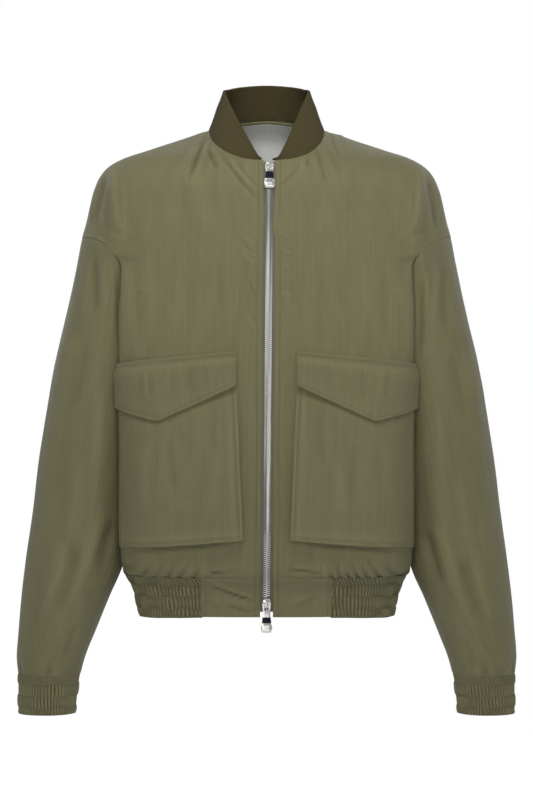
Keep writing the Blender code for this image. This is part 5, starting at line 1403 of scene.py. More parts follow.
def make_hem_tab(side, hand):
    down = edged(HEM_SEAM - HEM_EDGE, *TAB_STEPS) / (HEM_SEAM - HEM_EDGE)
    across = TAB_INNER + edged(TAB_OUTER - TAB_INNER, *TAB_STEPS)
    grids = []
    for depth in (0.0, HEM_CLOTH):
        rows = []
        for share, height in zip(down, hem_heights(down)):
            base = round_body(height, np.zeros(len(across)), across)
            lift = creased(TAB_CREASES[side], base, hand)
            lift += TAB_LIFT - PLACKET_DIP * bell(across - TAB_INNER - PLACKET, STITCH_GROOVE)
            lift -= TAB_END_DIP * bell(TAB_OUTER - TAB_END - across, TAB_GROOVE)
            lift += seam_dip(np.full(len(across), share * (HEM_SEAM - HEM_EDGE)))
            lift -= TAB_HANG * smooth_step((share - TAB_HANG_FROM) / 0.1)
            rows.append(round_body(height, lift - depth, across))
        grid = drawn_back(np.stack(rows), rows=False, by=SEAM_GAP)
        grids += handed(hand, grid)
    level_edge(*grids, 0, HEM_SEAM - SEAM_GAP, HEM_CLOTH)
    return sewn(
        "hem_tab_cloth_" + side, *grids, "hem_tab_" + side, "shell_nylon",
        (0.078, 0.105), "stretched", shell_material(),
    )


def edged(length, step, edge_step):
    """Distances over a length, closer together near its two ends."""
    near = np.arange(0, END_REACH, edge_step)
    count = max(2, round((length - 2 * END_REACH) / step))
    middle = np.linspace(END_REACH, length - END_REACH, count)
    return np.concatenate([near, middle, (length - near)[::-1]])


# ------------------------------------------------------------------ collar, facing and lining


def neckline_lap(turns):
    """How far the rib comes down over the fronts, from 0 to 1: most at the neck's corners."""
    return smooth_step((turns - LAP_FROM) / LAP_RISE) * smooth_step((LAP_TO - turns) / LAP_FALL)


def lap_direction(turns):
    """Away from the neck over the shoulders, and a little outwards."""
    away = np.stack([-np.sin(np.radians(turns)), -np.cos(np.radians(turns)), 0 * turns], axis=1)
    down = np.stack([0 * turns, 0 * turns, -1 + 0 * turns], axis=1)
    slope = np.interp(turns, SLOPE_TURNS, NECKLINE_SLOPES)[:, None]
    return unit(away * (1 - slope) + down * slope) + np.array([0, -1, 0.3]) * NECKLINE_RISE / NECKLINE_LAP


def make_collar():
    turns = np.linspace(COLLAR_START, 180, COLLAR_FINE_COLUMNS)
    base = np.stack([neck_seam(t) for t in turns])
    base += NECKLINE_LAP * neckline_lap(turns)[:, None] * lap_direction(turns)
    top = np.stack([column(COLLAR_TOP, name, turns, "turn") for name in ("out", "depth", "height")], axis=-1)
    top[:, 0] *= -1
    shares = edged(COLLAR_HEIGHT, *COLLAR_STEPS) / COLLAR_HEIGHT
    outer = np.stack([base + (top - base) * share for share in shares])
    normals = unit(np.cross(np.broadcast_to((top - base)[None], outer.shape), np.gradient(outer, axis=1)))
    normals[:, -1, 0] = 0
    height = shares[:, None] * np.linalg.norm(top - base, axis=1)[None]
    tall = np.linalg.norm(top - base, axis=1)[None]
    edge = np.clip(1 - (tall - height) / COLLAR_ROUND, 0, 1)
    tuck = 0.5 * RIB * (1 - np.sqrt(np.maximum(1 - edge**2, 0)))
    tuck = tuck + SEAM_DIP * (1 - smooth_step(height / COLLAR_SEAM_REACH)) ** 2
    soft = COLLAR_DRAPE * ripple(turns[None, :] * 0.0016, height * 3, 2.0)
    inner = outer - normals * (RIB - TUCK_SHARE * tuck - soft)[..., None]
    outer = outer - normals * (TUCK_SHARE * tuck - soft)[..., None]
    grids = [np.concatenate([g, mirrored(g)[:, 1:]], axis=1) for g in (outer, inner)]
    aside = LEFT_FRONT_ASIDE * smooth_step(1 - turns[::-1][1:] / COLLAR_LEAN_REACH)
    for grid in grids:
        grid[:, len(turns):, 0] += shares[:, None] * aside
    return sewn(
        "collar_rib", *grids, "collar", "rib_knit", (0.440, 0.110), "stretched", rib_material()
    )


def inside_back(name, node, heights, slot, flat, material, wave):
    """A sheet that lies against the inside of the back, near the neck."""
    net = NETS["back"]
    reach = np.linspace(0, LINING_REACH, LINING_COLUMNS)
    plain = np.stack([net.at(reach, height) for height in heights])
    sunk = [panel_lift("back", hand, plain, plain[..., 2]) for hand in (-1, 1)]
    sunk = np.minimum(0, np.min(sunk, axis=0) - LAY / 2)
    grids = []
    for lift in (-CLOTH - LAY, -CLOTH - LAY - TAPE):
        rows = []
        for height, trough in zip(heights, sunk):
            fold = wave * np.sin(2 * math.pi * (height / LINING_FOLD + 0.2 * np.sin(reach * 9)))
            rows.append(net.at(reach, height, lift + trough - np.abs(fold)))
        grid = np.stack(rows)
        grid[:, 0, 0] = 0
        grids.append(both_halves(grid))
    return sewn(name, *grids, node, slot, flat, "stretched", material)


# ------------------------------------------------------------------ pockets and flaps


def pocket_side(share):
    """How far a gusset's wall is drawn in under the face and how high it stands, from its base."""
    return GUSSET_BASE * (1 - share) + GUSSET_FOLD * np.sin(math.pi * share), share


def pocket_span(down):
    """The pocket's inner and outer edges at a share of the way from its bottom to its top."""
    guide = POCKET_BOTTOM_INNER + (POCKET_TOP - POCKET_BOTTOM_INNER) * down
    inner = POCKET_INNER_BOTTOM + (POCKET_INNER_TOP - POCKET_INNER_BOTTOM) * down
    return inner, edge_distance(guide)


def pocket_bottom(share):
    return POCKET_BOTTOM_INNER + (POCKET_BOTTOM_OUTER - POCKET_BOTTOM_INNER) * share


def pocket_drape(x, height, hand):
    return POCKET_DRAPE * settings().drape * ripple(x, height, POCKET_SEED + hand)


def creased(creases, points, hand):
    """The lift of a piece's creases at points of its -X version."""
    return crease_lift(creases, points[..., 0] * -hand, points[..., 2])


def pocket_grid(layer, side, hand):
    """Points of the pocket's outer face (layer 0) or inner face (layer 1)."""
    inset = CLOTH * layer
    walls = np.linspace(0, 1, POCKET_WALL_ROWS)[:-1]
    tall = POCKET_TOP - POCKET_BOTTOM_INNER
    face_downs = edged(tall, *POCKET_STEPS) / tall
    face_downs = GUSSET_SHARE + (1 - 2 * GUSSET_SHARE) * face_downs
    downs = [(GUSSET_SHARE * w, w) for w in walls] + [(d, 1.0) for d in face_downs]
    downs += [(1 - GUSSET_SHARE * w, w) for w in walls[::-1]]
    rows = []
    for down, wall_share in downs:
        inner, outer = pocket_span(down)
        inner, outer = inner + inset, outer - inset
        drawn, rise = pocket_side(walls)
        face = inner + edged(POCKET_WIDTH, *POCKET_STEPS) / POCKET_WIDTH * (outer - inner)
        distances = np.concatenate([inner + drawn, face, (outer - drawn)[::-1]])
        rise = np.concatenate([rise, np.ones(len(face)), rise[::-1]])
        share = (distances - inner) / (outer - inner)
        bottom = pocket_bottom(share) + inset
        heights = bottom + (POCKET_TOP - inset - bottom) * down
        lifts = pocket_lift(share, heights) - inset
        base = front_at(distances, heights, lifts)
        lifts = lifts + creased(POCKET_CREASES[side], base, hand)
        lifts += pocket_drape(distances, heights, hand)
        from_edge = np.minimum(distances - inner, outer - distances)
        from_edge = np.minimum(from_edge, (heights - bottom))
        lifts -= POCKET_STITCH_DIP * bell(from_edge - EDGE_STITCH, EDGE_GROOVE)
        flap = flap_bottom(distances, edge_distance(np.float64(FLAP_POINT_HEIGHT)) + FLAP_OVERHANG_BOTTOM)
        lifts -= UNDER_FLAP_DIP * bell(flap - heights - UNDER_FLAP, UNDER_FLAP_WIDTH)
        lifts = LAY + (lifts - LAY) * rise * wall_share
        rows.append(front_at(distances, heights, lifts))
    return np.stack(rows)


def make_pocket(side, hand):
    outer, inner = pocket_grid(0, side, hand), pocket_grid(1, side, hand)
    return sewn(
        "pocket_cloth_" + side, *handed(hand, outer, inner), "pocket_" + side, "shell_nylon",
        (0.215, 0.270), "stretched", shell_material(),
    )


def flap_place(share, down, extra, side, hand):
    """Points of the flap's outer face at shares of the way across and a share of the way down."""
    guide = FLAP_TOP_INNER + (FLAP_POINT_HEIGHT - FLAP_TOP_INNER) * down
    outer = edge_distance(guide) + FLAP_OVERHANG_TOP + (FLAP_OVERHANG_BOTTOM - FLAP_OVERHANG_TOP) * down
    distances = FLAP_INNER + share * (outer - FLAP_INNER)
    top = FLAP_TOP_INNER + (FLAP_TOP_OUTER - FLAP_TOP_INNER) * share
    heights = top + (flap_bottom(distances, outer) - top) * down
    over_pocket = smooth_step((top - heights) / FLAP_RISE)
    lifts = (pocket_lift(share, heights) + LAY) * over_pocket + 2 * LAY + extra
    lifts += FLAP_SPRING * smooth_step((share - FLAP_SPRING_FROM) / (1 - FLAP_SPRING_FROM))
    lifts += FLAP_STAND * smooth_step(down * FLAP_STAND_RISE) * (1 - smooth_step(share / FLAP_STAND_WIDTH))
    base = front_at(distances, heights, lifts)
    lifts = lifts + creased(FLAP_CREASES[side], base, hand)
    lower = (heights - flap_bottom(distances, outer)) * FLAP_SLANT
    sides = np.minimum(distances - FLAP_INNER, outer - distances)
    edge = np.minimum(np.minimum(lower, sides), top - heights)
    lifts -= POCKET_STITCH_DIP * bell(edge - EDGE_STITCH, EDGE_GROOVE)
    lifts -= FLAP_SEAM_DIP * bell(top - heights, FLAP_SEAM_GROOVE)
    return front_at(distances, heights, lifts)


def flap_shares():
    wide = FLAP_WIDTH
    point = (FLAP_POINT - FLAP_INNER) / wide
    left = edged(wide * point, *FLAP_STEPS_ACROSS) / wide
    right = point + np.linspace(0, 1 - point, 24)[1:-4]
    ends = 1 - np.arange(0, END_REACH, FLAP_STEPS_ACROSS[1])[::-1] / wide
    return np.concatenate([left, right[right < ends[0] - 0.01], ends])


def make_flap(side, hand):
    shares = flap_shares()
    downs = edged(FLAP_LENGTH, *FLAP_STEPS_DOWN) / FLAP_LENGTH
    grids = []
    for lift in (HEM_CLOTH, 0.0):
        grid = np.stack([flap_place(shares, down, lift, side, hand) for down in downs])
        grids += handed(hand, grid)
    return sewn(
        "flap_cloth_" + side, *grids, "flap_" + side, "shell_nylon",
        (0.160, 0.100), "stretched", shell_material(),
    )


# ------------------------------------------------------------------ zip


def zip_strip(edges, heights, lift):
    """Points of a strip along the zip, at distances from its middle line."""
    return np.stack([[chest_at(zip_line(h) + e, h, lift) for e in edges] for h in heights])


def make_zip_tape(side, hand):
    edges = np.linspace(SEAM / 2, ZIP_TAPE_WIDTH, TAPE_COLUMNS) * hand
    heights = np.linspace(ZIP_BOTTOM, ZIP_TOP, TAPE_ROWS)
    outside = -HEM_CLOTH - LAY
    grids = [zip_strip(np.sort(edges), heights, lift) for lift in (outside, outside - TAPE)]
    return sewn(
        "zip_tape_cloth_" + side, *grids, "zip_tape_" + side, "zip_tape",
        (0.0142, 0.585), "stretched", tape_material(),
    )


def one_tooth():
    """A tooth towards +X: its head at the origin's side stands higher than its foot."""
    mesh = bmesh.new()
    bmesh.ops.create_grid(mesh, x_segments=3, y_segments=1, size=0.5)
    for vert in mesh.verts:
        row = TOOTH_ROWS[round((vert.co.x + 0.5) * 3)]
        half = TOOTH_HEIGHT / 2 * row.height
        vert.co = (row.place, 0, half * (1 if vert.co.y > 0 else -1))
    raised = pushed(mesh)
    for vert in mesh.verts:
        row = min(TOOTH_ROWS, key=lambda row: abs(row.place - vert.co.x))
        vert.co.y = -row.stand if vert in raised else HEM_CLOTH
    bmesh.ops.recalc_face_normals(mesh, faces=mesh.faces[:])
    return mesh_data("tooth", mesh)


def make_zip_chain():
    tooth = one_tooth()
    mesh = bmesh.new()
    pitch = settings().tooth_pitch
    for hand, offset in ((-1, 0.0), (1, 0.5)):
        for k in range(int((CHAIN_TOP - CHAIN_BOTTOM) / pitch - offset)):
            height = CHAIN_BOTTOM + (k + 0.5 + offset) * pitch
            before = len(mesh.verts)
            mesh.from_mesh(tooth)
            mesh.verts.ensure_lookup_table()
            new = mesh.verts[before:]
            point = Vector(chest_at(zip_line(height), height, 0.0))
            lower = Vector(chest_at(zip_line(height), height - TILT_STEP, 0.0))
            tilt = math.atan2(lower.y - point.y, point.z - lower.z)
            matrix = Matrix.Translation(point) @ Matrix.Rotation(tilt, 4, "X")
            matrix = matrix @ Matrix.Diagonal((hand, 1, 1, 1))
            bmesh.ops.transform(mesh, matrix=matrix, verts=new)
    bpy.data.meshes.remove(tooth)
    piece = made("zip_teeth", mesh, sharp=0.5)
    piece.data.materials.append(metal_material())
    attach(piece, "garment")
    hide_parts("zip_chain")
    return piece


def rounded(mesh, offset, segments, sharp=0.6):
    """Rounds the edges of a mesh that turn by more than an angle."""
    bmesh.ops.recalc_face_normals(mesh, faces=mesh.faces[:])
    rim = [e for e in mesh.edges if e.calc_face_angle(0.0) > sharp]
    how = {"profile": 0.5, "affect": "EDGES", "material": -1}
    bmesh.ops.bevel(mesh, geom=rim, offset=offset, segments=segments, **how)


def on_axle(mesh, slider):
    place = Matrix.Translation(Vector(axle_point(slider)))
    lean = Matrix.Rotation(-math.atan(slider.lean), 4, "X")
    bmesh.ops.transform(mesh, matrix=place @ lean, verts=mesh.verts[:])


def make_slider(slider):
    """A shouldered body round the chain, with a bridge that holds the pull."""
    width, depth, length = SLIDER_SIZE
    mesh = bmesh.new()
    bmesh.ops.create_grid(mesh, x_segments=2, y_segments=5, size=0.5)
    for vert in mesh.verts:
        row = round((vert.co.y + 0.5) * 5)
        vert.co = (vert.co.x * width * SLIDER_WAIST[row], PLATE_GAP, vert.co.y * length)
    for vert in pushed(mesh):
        vert.co.y += depth
    rounded(mesh, SLIDER_ROUND, 3)
    ring = bmesh.ops.create_circle(mesh, segments=10, radius=BRIDGE_RADIUS, cap_ends=False)
    sunk = PLATE_GAP + BRIDGE_SINK
    place = Matrix.Translation((0, sunk, BRIDGE_HALF_LENGTH + BRIDGE_LEG / 2))
    turn = Matrix.Rotation(math.pi / 2, 4, "X")
    bmesh.ops.transform(mesh, matrix=place @ turn, verts=ring["verts"])
    edges = list({e for v in ring["verts"] for e in v.link_edges})
    swept = bmesh.ops.spin(
        mesh, geom=ring["verts"] + edges, cent=(0, sunk, 0), axis=(1, 0, 0),
        angle=math.pi, steps=BRIDGE_STEPS, use_merge=False,
    )
    last = [e for e in swept["geom_last"] if isinstance(e, bmesh.types.BMEdge)]
    bmesh.ops.holes_fill(mesh, edges=edges + last)
    on_axle(mesh, slider)
    piece = made(slider.name + "_slider_body", mesh)
    piece.data.materials.append(metal_material())
    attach(piece, "garment")
    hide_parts(slider.name + "_slider")
    return piece


def pull_half_width(below):
    return column(PULL_ROWS, "half_width", below, "below")


def make_pull(slider):
    """A flat tab with an eye, flared towards its rounded end."""
    length = slider.pull_length
    downs = PULL_DOWNS
    below, half_mm = zip(*PULL_THICK)
    thick = np.interp(downs, below, half_mm)
    mesh = bmesh.new()
    bmesh.ops.create_grid(mesh, x_segments=3, y_segments=len(downs) - 1, size=0.5)
    row_of = mesh.verts.layers.int.new("row")
    hole = []
    for vert in mesh.verts:
        row = round((vert.co.y + 0.5) * (len(downs) - 1))
        place = round((vert.co.x + 0.5) * 3)
        wide = float(pull_half_width(downs[row]))
        vert[row_of] = row
        across = (-wide, -PULL_EYE, PULL_EYE, wide)[place]
        vert.co = (across, -thick[row] / 1000, -downs[row] * length)
    for face in mesh.faces:
        rows = {v[row_of] for v in face.verts}
        if rows <= {1, 2, 3} and all(abs(v.co.x) < PULL_EYE * 1.1 for v in face.verts):
            hole.append(face)
    bmesh.ops.delete(mesh, geom=hole, context="FACES")
    for vert in pushed(mesh):
        vert.co.y *= -1
    rounded(mesh, PULL_ROUND, 2, sharp=0.9)
    on_axle(mesh, slider)
    piece = made(slider.name + "_pull_tab", mesh)
    piece.data.materials.append(metal_material())
    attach(piece, slider.name + "_pull")
    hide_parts(slider.name + "_pull")
    return piece


def make_inlay(slider):
    """The dark enamel field on the front of a pull."""
    top, bottom = INLAYS[slider.name]
    mesh = bmesh.new()
    bmesh.ops.create_grid(mesh, x_segments=1, y_segments=1, size=0.5)
    for vert in mesh.verts:
        below = top if vert.co.y > 0 else bottom
        wide = float(pull_half_width(below)) - INLAY_BORDER
        vert.co = (math.copysign(wide, vert.co.x), -INLAY_FRONT, -below * slider.pull_length)
    for vert in pushed(mesh):
        vert.co.y += INLAY_THICKNESS
    rounded(mesh, INLAY_ROUND, 2)
    on_axle(mesh, slider)
    piece = made(slider.name + "_pull_inlay", mesh)
    piece.data.materials.append(enamel_material())
    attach(piece, slider.name + "_pull")
    return piece


# ------------------------------------------------------------------ stitching


def stitched(name, lines):
    """Thread stitches along lines of points that lie on the cloth."""
    length, gap = settings().stitch_length, settings().stitch_gap
    mesh = bmesh.new()
    for line in lines:
        reach = reach_along(line)
        count = max(1, int(reach[-1] / (length + gap)))
        at = np.linspace(0, reach[-1], count + 1)
        points = np.stack([np.interp(at, reach, line[:, k]) for k in range(3)], axis=-1)
        for first, second in zip(points[:-1], points[1:]):
            run = Vector(second - first)
            turn = run.to_track_quat("Z", "Y").to_matrix().to_4x4()
            size = Matrix.Diagonal((THREAD, THREAD, run.length / 2 * length / (length + gap), 1))
            place = Matrix.Translation(Vector((first + second) / 2))
            bmesh.ops.create_icosphere(mesh, subdivisions=1, radius=1.0, matrix=place @ turn @ size)
    piece = made(name, mesh, sharp=3.2)
    piece.data.materials.append(thread_material())
    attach(piece, "garment")
    return piece


def facing_hand(points, hand):
    return points * np.array([-hand, 1, 1])


def placket_line(hand):
    heights = np.linspace(HEM_SEAM + 0.001, NECK_FRONT.height - 0.002, 260)
    net = NETS["front"]
    distances = ZIP_OPENING + hand * zip_line(heights) + PLACKET
    fractions = distances / net.length(heights)
    points = net.at(fractions, heights)
    lift = panel_lift("front", hand, points, heights) - PLACKET_DIP + THREAD_SITS
    return facing_hand(net.at(fractions, heights, lift), hand)


def pocket_lines(side, hand):
    lines = []
    for edge in ("inner", "bottom", "outer"):
        down = np.linspace(0.02, 0.86, POCKET_STITCH_POINTS)
        share_at = None
        if edge == "bottom":
            share_at = np.linspace(0.02, 0.98, POCKET_STITCH_POINTS)
            level = (EDGE_STITCH + GUSSET) / (POCKET_TOP - POCKET_BOTTOM_INNER)
            down = np.full(POCKET_STITCH_POINTS, level)
        points = []
        for k, d in enumerate(down):
            inner, outer = pocket_span(d)
            place = {"inner": inner + EDGE_STITCH, "outer": outer - EDGE_STITCH}.get(edge)
            if edge == "bottom":
                place = inner + EDGE_STITCH + (outer - inner - 2 * EDGE_STITCH) * share_at[k]
            share = (place - inner) / (outer - inner)
            bottom = pocket_bottom(share)
            height = bottom + (POCKET_TOP - bottom) * d
            lift = pocket_lift(share, height)
            base = front_at(np.float64(place), np.float64(height), lift)
            lift += crease_lift(POCKET_CREASES[side], base[:1] * -hand, base[2:])[0]
            lift += pocket_drape(place, height, hand)
            lift = lift - POCKET_STITCH_DIP + THREAD_SITS
            points.append(front_at(np.float64(place), np.float64(height), lift))
        lines.append(facing_hand(np.stack(points), hand))
    return lines


def flap_lines(side, hand):
    """Stitches beside all four edges of a flap."""

    def line(shares, downs):
        points = [flap_place(np.array([x]), y, FLAP_THREAD, side, hand)[0] for x, y in zip(shares, downs)]
        return facing_hand(np.stack(points), hand)

    inset = EDGE_STITCH / FLAP_WIDTH
    across = np.linspace(inset, 1 - inset, 140)
    outer = edge_distance(FLAP_POINT_HEIGHT)
    tall = FLAP_TOP_INNER + (FLAP_TOP_OUTER - FLAP_TOP_INNER) * across
    tall = tall - flap_bottom(FLAP_INNER + across * (outer - FLAP_INNER), outer)
    low, high = 1 - EDGE_STITCH / FLAP_SLANT / tall, EDGE_STITCH / tall
    lines = [line(across, low), line(across, high)]
    for end in (0, -1):
        lines.append(line(np.full(40, across[end]), np.linspace(high[end], low[end], 40)))
    return lines


def hem_lines():
    lines = []
    for share in HEM_SHIRRING[1:-1] + (HEM_EDGE_ROW,):
        height = float(hem_heights(np.float64(share)))
        lap = lap_length(height)
        distances = np.linspace(TAB_OUTER + 0.001, lap - TAB_OUTER - 0.001, HEM_STITCH_POINTS)
        lines.append(round_body(height, np.full(HEM_STITCH_POINTS, SHIRR_THREAD), distances))
    return lines


def tab_lines(side, hand):
    lines = []
    heights = hem_heights(np.linspace(0.03, 0.97, 60))
    for place in (TAB_INNER + PLACKET, TAB_OUTER - TAB_END):
        row = []
        for height in heights:
            base = round_body(height, np.zeros(1), np.array([place]))
            lift = creased(TAB_CREASES[side], base, hand)
            row.append(round_body(height, lift + TAB_LIFT - 0.0003 + THREAD_SITS, np.array([place]))[0])
        lines.append(facing_hand(np.stack(row), hand))
    return lines


def cuff_lines(hand):
    angles = np.linspace(0, 2 * math.pi, CUFF_STITCH_POINTS)
    lines = []
    for share in CUFF_SHIRRING[1:-1] + (CUFF_EDGE_ROW,):
        height = CUFF_SEAM + (CUFF_EDGE - CUFF_SEAM) * share
        place = np.array([ring_places(height)])
        points = sleeve_rows(place, angles)[0] + sleeve_normals(place, angles)[0] * SHIRR_THREAD
        lines.append(facing_hand(points, hand))
    return lines


def sleeve_line(hand):
    """The stitched seam under the forearm."""
    places = np.linspace(FOREARM_FROM, CUFF_PLACE - 0.05, 200)
    angle = np.array([math.radians(UNDERARM_STITCH)])
    point, normal, lift = sleeve_surface(places, angle, hand)
    line = point[:, 0] + normal[:, 0] * (lift + THREAD_SITS)
    return facing_hand(line, hand)


# ------------------------------------------------------------------ materials


def node_group(name, inputs, outputs):
    """A new shader node group with named inputs, given as (name, kind, value), and outputs."""
    tree = bpy.data.node_groups.new(name, "ShaderNodeTree")
    for label, kind, value in inputs:
        socket = tree.interface.new_socket(label, in_out="INPUT", socket_type="NodeSocket" + kind)
        if value is not None:
            socket.default_value = value
    for label in outputs:
        tree.interface.new_socket(label, in_out="OUTPUT", socket_type="NodeSocketFloat")
    return tree, tree.nodes.new("NodeGroupInput"), tree.nodes.new("NodeGroupOutput")


def math_node(tree, operation, first, second=0.0, third=None):
    node = tree.nodes.new("ShaderNodeMath")
    node.operation = operation
    for socket, value in zip(node.inputs, (first, second, third)):
        if isinstance(value, bpy.types.NodeSocket):
            tree.links.new(value, socket)
        elif value is not None:
            socket.default_value = value
    return node.outputs[0]


def times(tree, first, second):
    return math_node(tree, "MULTIPLY", first, second)


def scaled(tree, vector, scale):
    node = tree.nodes.new("ShaderNodeVectorMath")
    node.operation = "MULTIPLY"
    tree.links.new(vector, node.inputs[0])
    node.inputs[1].default_value = scale
    return node.outputs[0]


def noise(tree, vector, scale, detail=2.0, roughness=0.55):
    """Noise over a vector that is stretched by a scale for each axis."""
    node = tree.nodes.new("ShaderNodeTexNoise")
    node.inputs["Scale"].default_value = 1.0
    node.inputs["Detail"].default_value = detail
    node.inputs["Roughness"].default_value = roughness
    tree.links.new(scaled(tree, vector, scale), node.inputs["Vector"])
    return node.outputs["Fac"]


def centred(tree, value, weight):
    """A value from 0 to 1 made to swing about 0 by half a weight."""
    return times(tree, math_node(tree, "SUBTRACT", value, 0.5), weight)


def total(tree, values):
    result = values[0]
    for value in values[1:]:
        result = math_node(tree, "ADD", result, value)
    return result


def woven_group():
    """Plain weave with slubs and long streaks along the warp, and a soft crumple."""
    name = "woven_cloth"
    if name in bpy.data.node_groups:
        return bpy.data.node_groups[name]
    tree, given, out = node_group(
        name,
        [("Place", "Vector", None), ("Threads", "Float", 2600.0), ("Streaks", "Float", 1.0),
         ("Crumple", "Float", 1.0)],
        ("Height", "Tone"),
    )
    place = given.outputs["Place"]
    split = tree.nodes.new("ShaderNodeSeparateXYZ")
    tree.links.new(place, split.inputs[0])
    turns = times(tree, given.outputs["Threads"], math.pi)
    warp = math_node(tree, "SINE", times(tree, split.outputs[0], turns))
    weft = math_node(tree, "SINE", times(tree, split.outputs[1], turns))
    weave = times(tree, times(tree, warp, weft), 0.08)
    slubs = noise(tree, place, (1500.0, 90.0, 1.0))
    streaks = noise(tree, place, (260.0, 9.0, 1.0), 3.0)
    wide = noise(tree, place, (70.0, 5.0, 1.0), 2.0)
    crumple = noise(tree, place, (42.0, 26.0, 1.0), 4.0, 0.62)
    streak = times(tree, centred(tree, streaks, 0.9), given.outputs["Streaks"])
    fold = times(tree, centred(tree, crumple, 1.6), given.outputs["Crumple"])
    long_fold = times(tree, centred(tree, wide, 1.2), given.outputs["Streaks"])
    height = total(tree, [weave, centred(tree, slubs, 0.16), streak, fold, long_fold])
    tone = total(tree, [
        centred(tree, slubs, 0.5),
        times(tree, centred(tree, streaks, 0.8), given.outputs["Streaks"]),
        centred(tree, noise(tree, place, (9.0, 6.0, 1.0), 2.0), 0.5),
        0.5,
    ])
    tree.links.new(height, out.inputs["Height"])
    tree.links.new(tone, out.inputs["Tone"])
    return tree


def rib_group():
    """Fine rib knit: columns of loops."""
    name = "rib_knit"
    if name in bpy.data.node_groups:
        return bpy.data.node_groups[name]
    tree, given, out = node_group(
        name, [("Place", "Vector", None), ("Ribs", "Float", 700.0), ("Loops", "Float", 900.0)],
        ("Height", "Tone"),
    )
    split = tree.nodes.new("ShaderNodeSeparateXYZ")
    tree.links.new(given.outputs["Place"], split.inputs[0])
    across = times(tree, split.outputs[0], times(tree, given.outputs["Ribs"], 2 * math.pi))
    down = times(tree, split.outputs[1], times(tree, given.outputs["Loops"], 2 * math.pi))
    rib = math_node(tree, "SINE", across)
    slant = math_node(tree, "ADD", down, times(tree, math_node(tree, "ABSOLUTE", rib), 1.2))
    loops = math_node(tree, "SINE", slant)
    fuzz = noise(tree, given.outputs["Place"], (900.0, 900.0, 1.0), 3.0, 0.7)
    worn = noise(tree, given.outputs["Place"], (30.0, 24.0, 1.0), 3.0)
    height = total(tree, [times(tree, rib, 0.5), times(tree, loops, 0.16), centred(tree, fuzz, 0.3)])
    # The ribs' own height also lifts the tone: painted highlight on each rib's top and painted shade between
    # ribs; the fuzz and worn patches are the yarn's uneven tone.
    tone = total(tree, [times(tree, rib, 0.16), centred(tree, fuzz, 0.5), centred(tree, worn, 0.5), 0.5])
    tree.links.new(height, out.inputs["Height"])
    tree.links.new(tone, out.inputs["Tone"])
    return tree


def metal_group():
    """Fine polishing lines and rubbed patches on plated metal."""
    name = "plated_wear"
    if name in bpy.data.node_groups:
        return bpy.data.node_groups[name]
    tree, given, out = node_group(
        name, [("Place", "Vector", None), ("Rubbing", "Float", 1.0)], ("Roughness", "Tone")
    )
    lines = noise(tree, given.outputs["Place"], (300.0, 300.0, 2600.0), 2.0)
    patches = noise(tree, given.outputs["Place"], (420.0, 420.0, 420.0), 3.0)
    rubbed = times(tree, centred(tree, patches, 0.25), given.outputs["Rubbing"])
    rough = total(tree, [centred(tree, lines, 0.10), rubbed, 0.20])
    tree.links.new(rough, out.inputs["Roughness"])
    tree.links.new(total(tree, [centred(tree, patches, 0.4), 0.5]), out.inputs["Tone"])
    return tree


def tinted(tree, tone, dark, light, shader):
    """The colour swings between two shades of itself by a tone."""
    ramp = tree.nodes.new("ShaderNodeValToRGB")
    ramp.color_ramp.elements[0].position = 0.15
    ramp.color_ramp.elements[0].color = (*dark, 1)
    ramp.color_ramp.elements[1].position = 0.85
    ramp.color_ramp.elements[1].color = (*light, 1)
    tree.links.new(tone, ramp.inputs[0])
    tree.links.new(ramp.outputs[0], shader.inputs["Base Color"])


def bumped(tree, height, distance, shader):
    bump = tree.nodes.new("ShaderNodeBump")
    bump.inputs["Strength"].default_value = 1.0
    bump.inputs["Distance"].default_value = distance
    tree.links.new(height, bump.inputs["Height"])
    tree.links.new(bump.outputs[0], shader.inputs["Normal"])


def new_material(name, **values):
    """A material with its Principled shader, whose even values sit on its own sockets."""
    material = bpy.data.materials.new(name)
    material.use_nodes = True
    shader = material.node_tree.nodes["Principled BSDF"]
    for socket, value in values.items():
        shader.inputs[socket.replace("_", " ")].default_value = value
    return material, material.node_tree, shader


def shade(colour, share):
    return tuple(c * share for c in colour)


def paint_crease_shading(tree, strength, shader):
    """Paints shade into the colour where the cloth dips and a highlight where it stands up, by its stored
    relief: painted shade in creases and gathers, painted highlight on their crests.
    """
    stored = tree.nodes.new("ShaderNodeAttribute")
    stored.attribute_name = "relief"
    shading = math_node(tree, "ADD", times(tree, stored.outputs["Fac"], strength), 1.0)
    dyed = tree.nodes.new("ShaderNodeVectorMath")
    dyed.operation = "SCALE"
    tree.links.new(shader.inputs["Base Color"].links[0].from_socket, dyed.inputs[0])
    tree.links.new(shading, dyed.inputs["Scale"])
    tree.links.new(dyed.outputs[0], shader.inputs["Base Color"])


def cloth_material(name, colour, spread, group, values, distance, painted_shading=0.0, **shader_values):
    if name in bpy.data.materials:
        return bpy.data.materials[name]
    material, tree, shader = new_material(name, **shader_values)
    place = tree.nodes.new("ShaderNodeUVMap")
    place.uv_map = "cloth"
    pattern = tree.nodes.new("ShaderNodeGroup")
    pattern.node_tree = group
    for label, value in values.items():
        pattern.inputs[label].default_value = value
    tree.links.new(place.outputs[0], pattern.inputs["Place"])
    tinted(tree, pattern.outputs["Tone"], shade(colour, 1 - spread), shade(colour, 1 + spread), shader)
    # Painted shade where the cloth dips and painted highlight where it stands up.
    paint_crease_shading(tree, painted_shading, shader)
    bumped(tree, pattern.outputs["Height"], distance, shader)
    return material


def shell_material():
    s = settings()
    return cloth_material(
        "shell_nylon_cloth", s.shell_colour, 0.09, woven_group(),
        {"Threads": s.threads, "Streaks": s.streaks, "Crumple": s.crumple}, 0.0006, painted_shading=s.painted_shading,
        Roughness=0.55, Sheen_Weight=0.06, Sheen_Roughness=0.4, Specular_IOR_Level=0.30,
    )


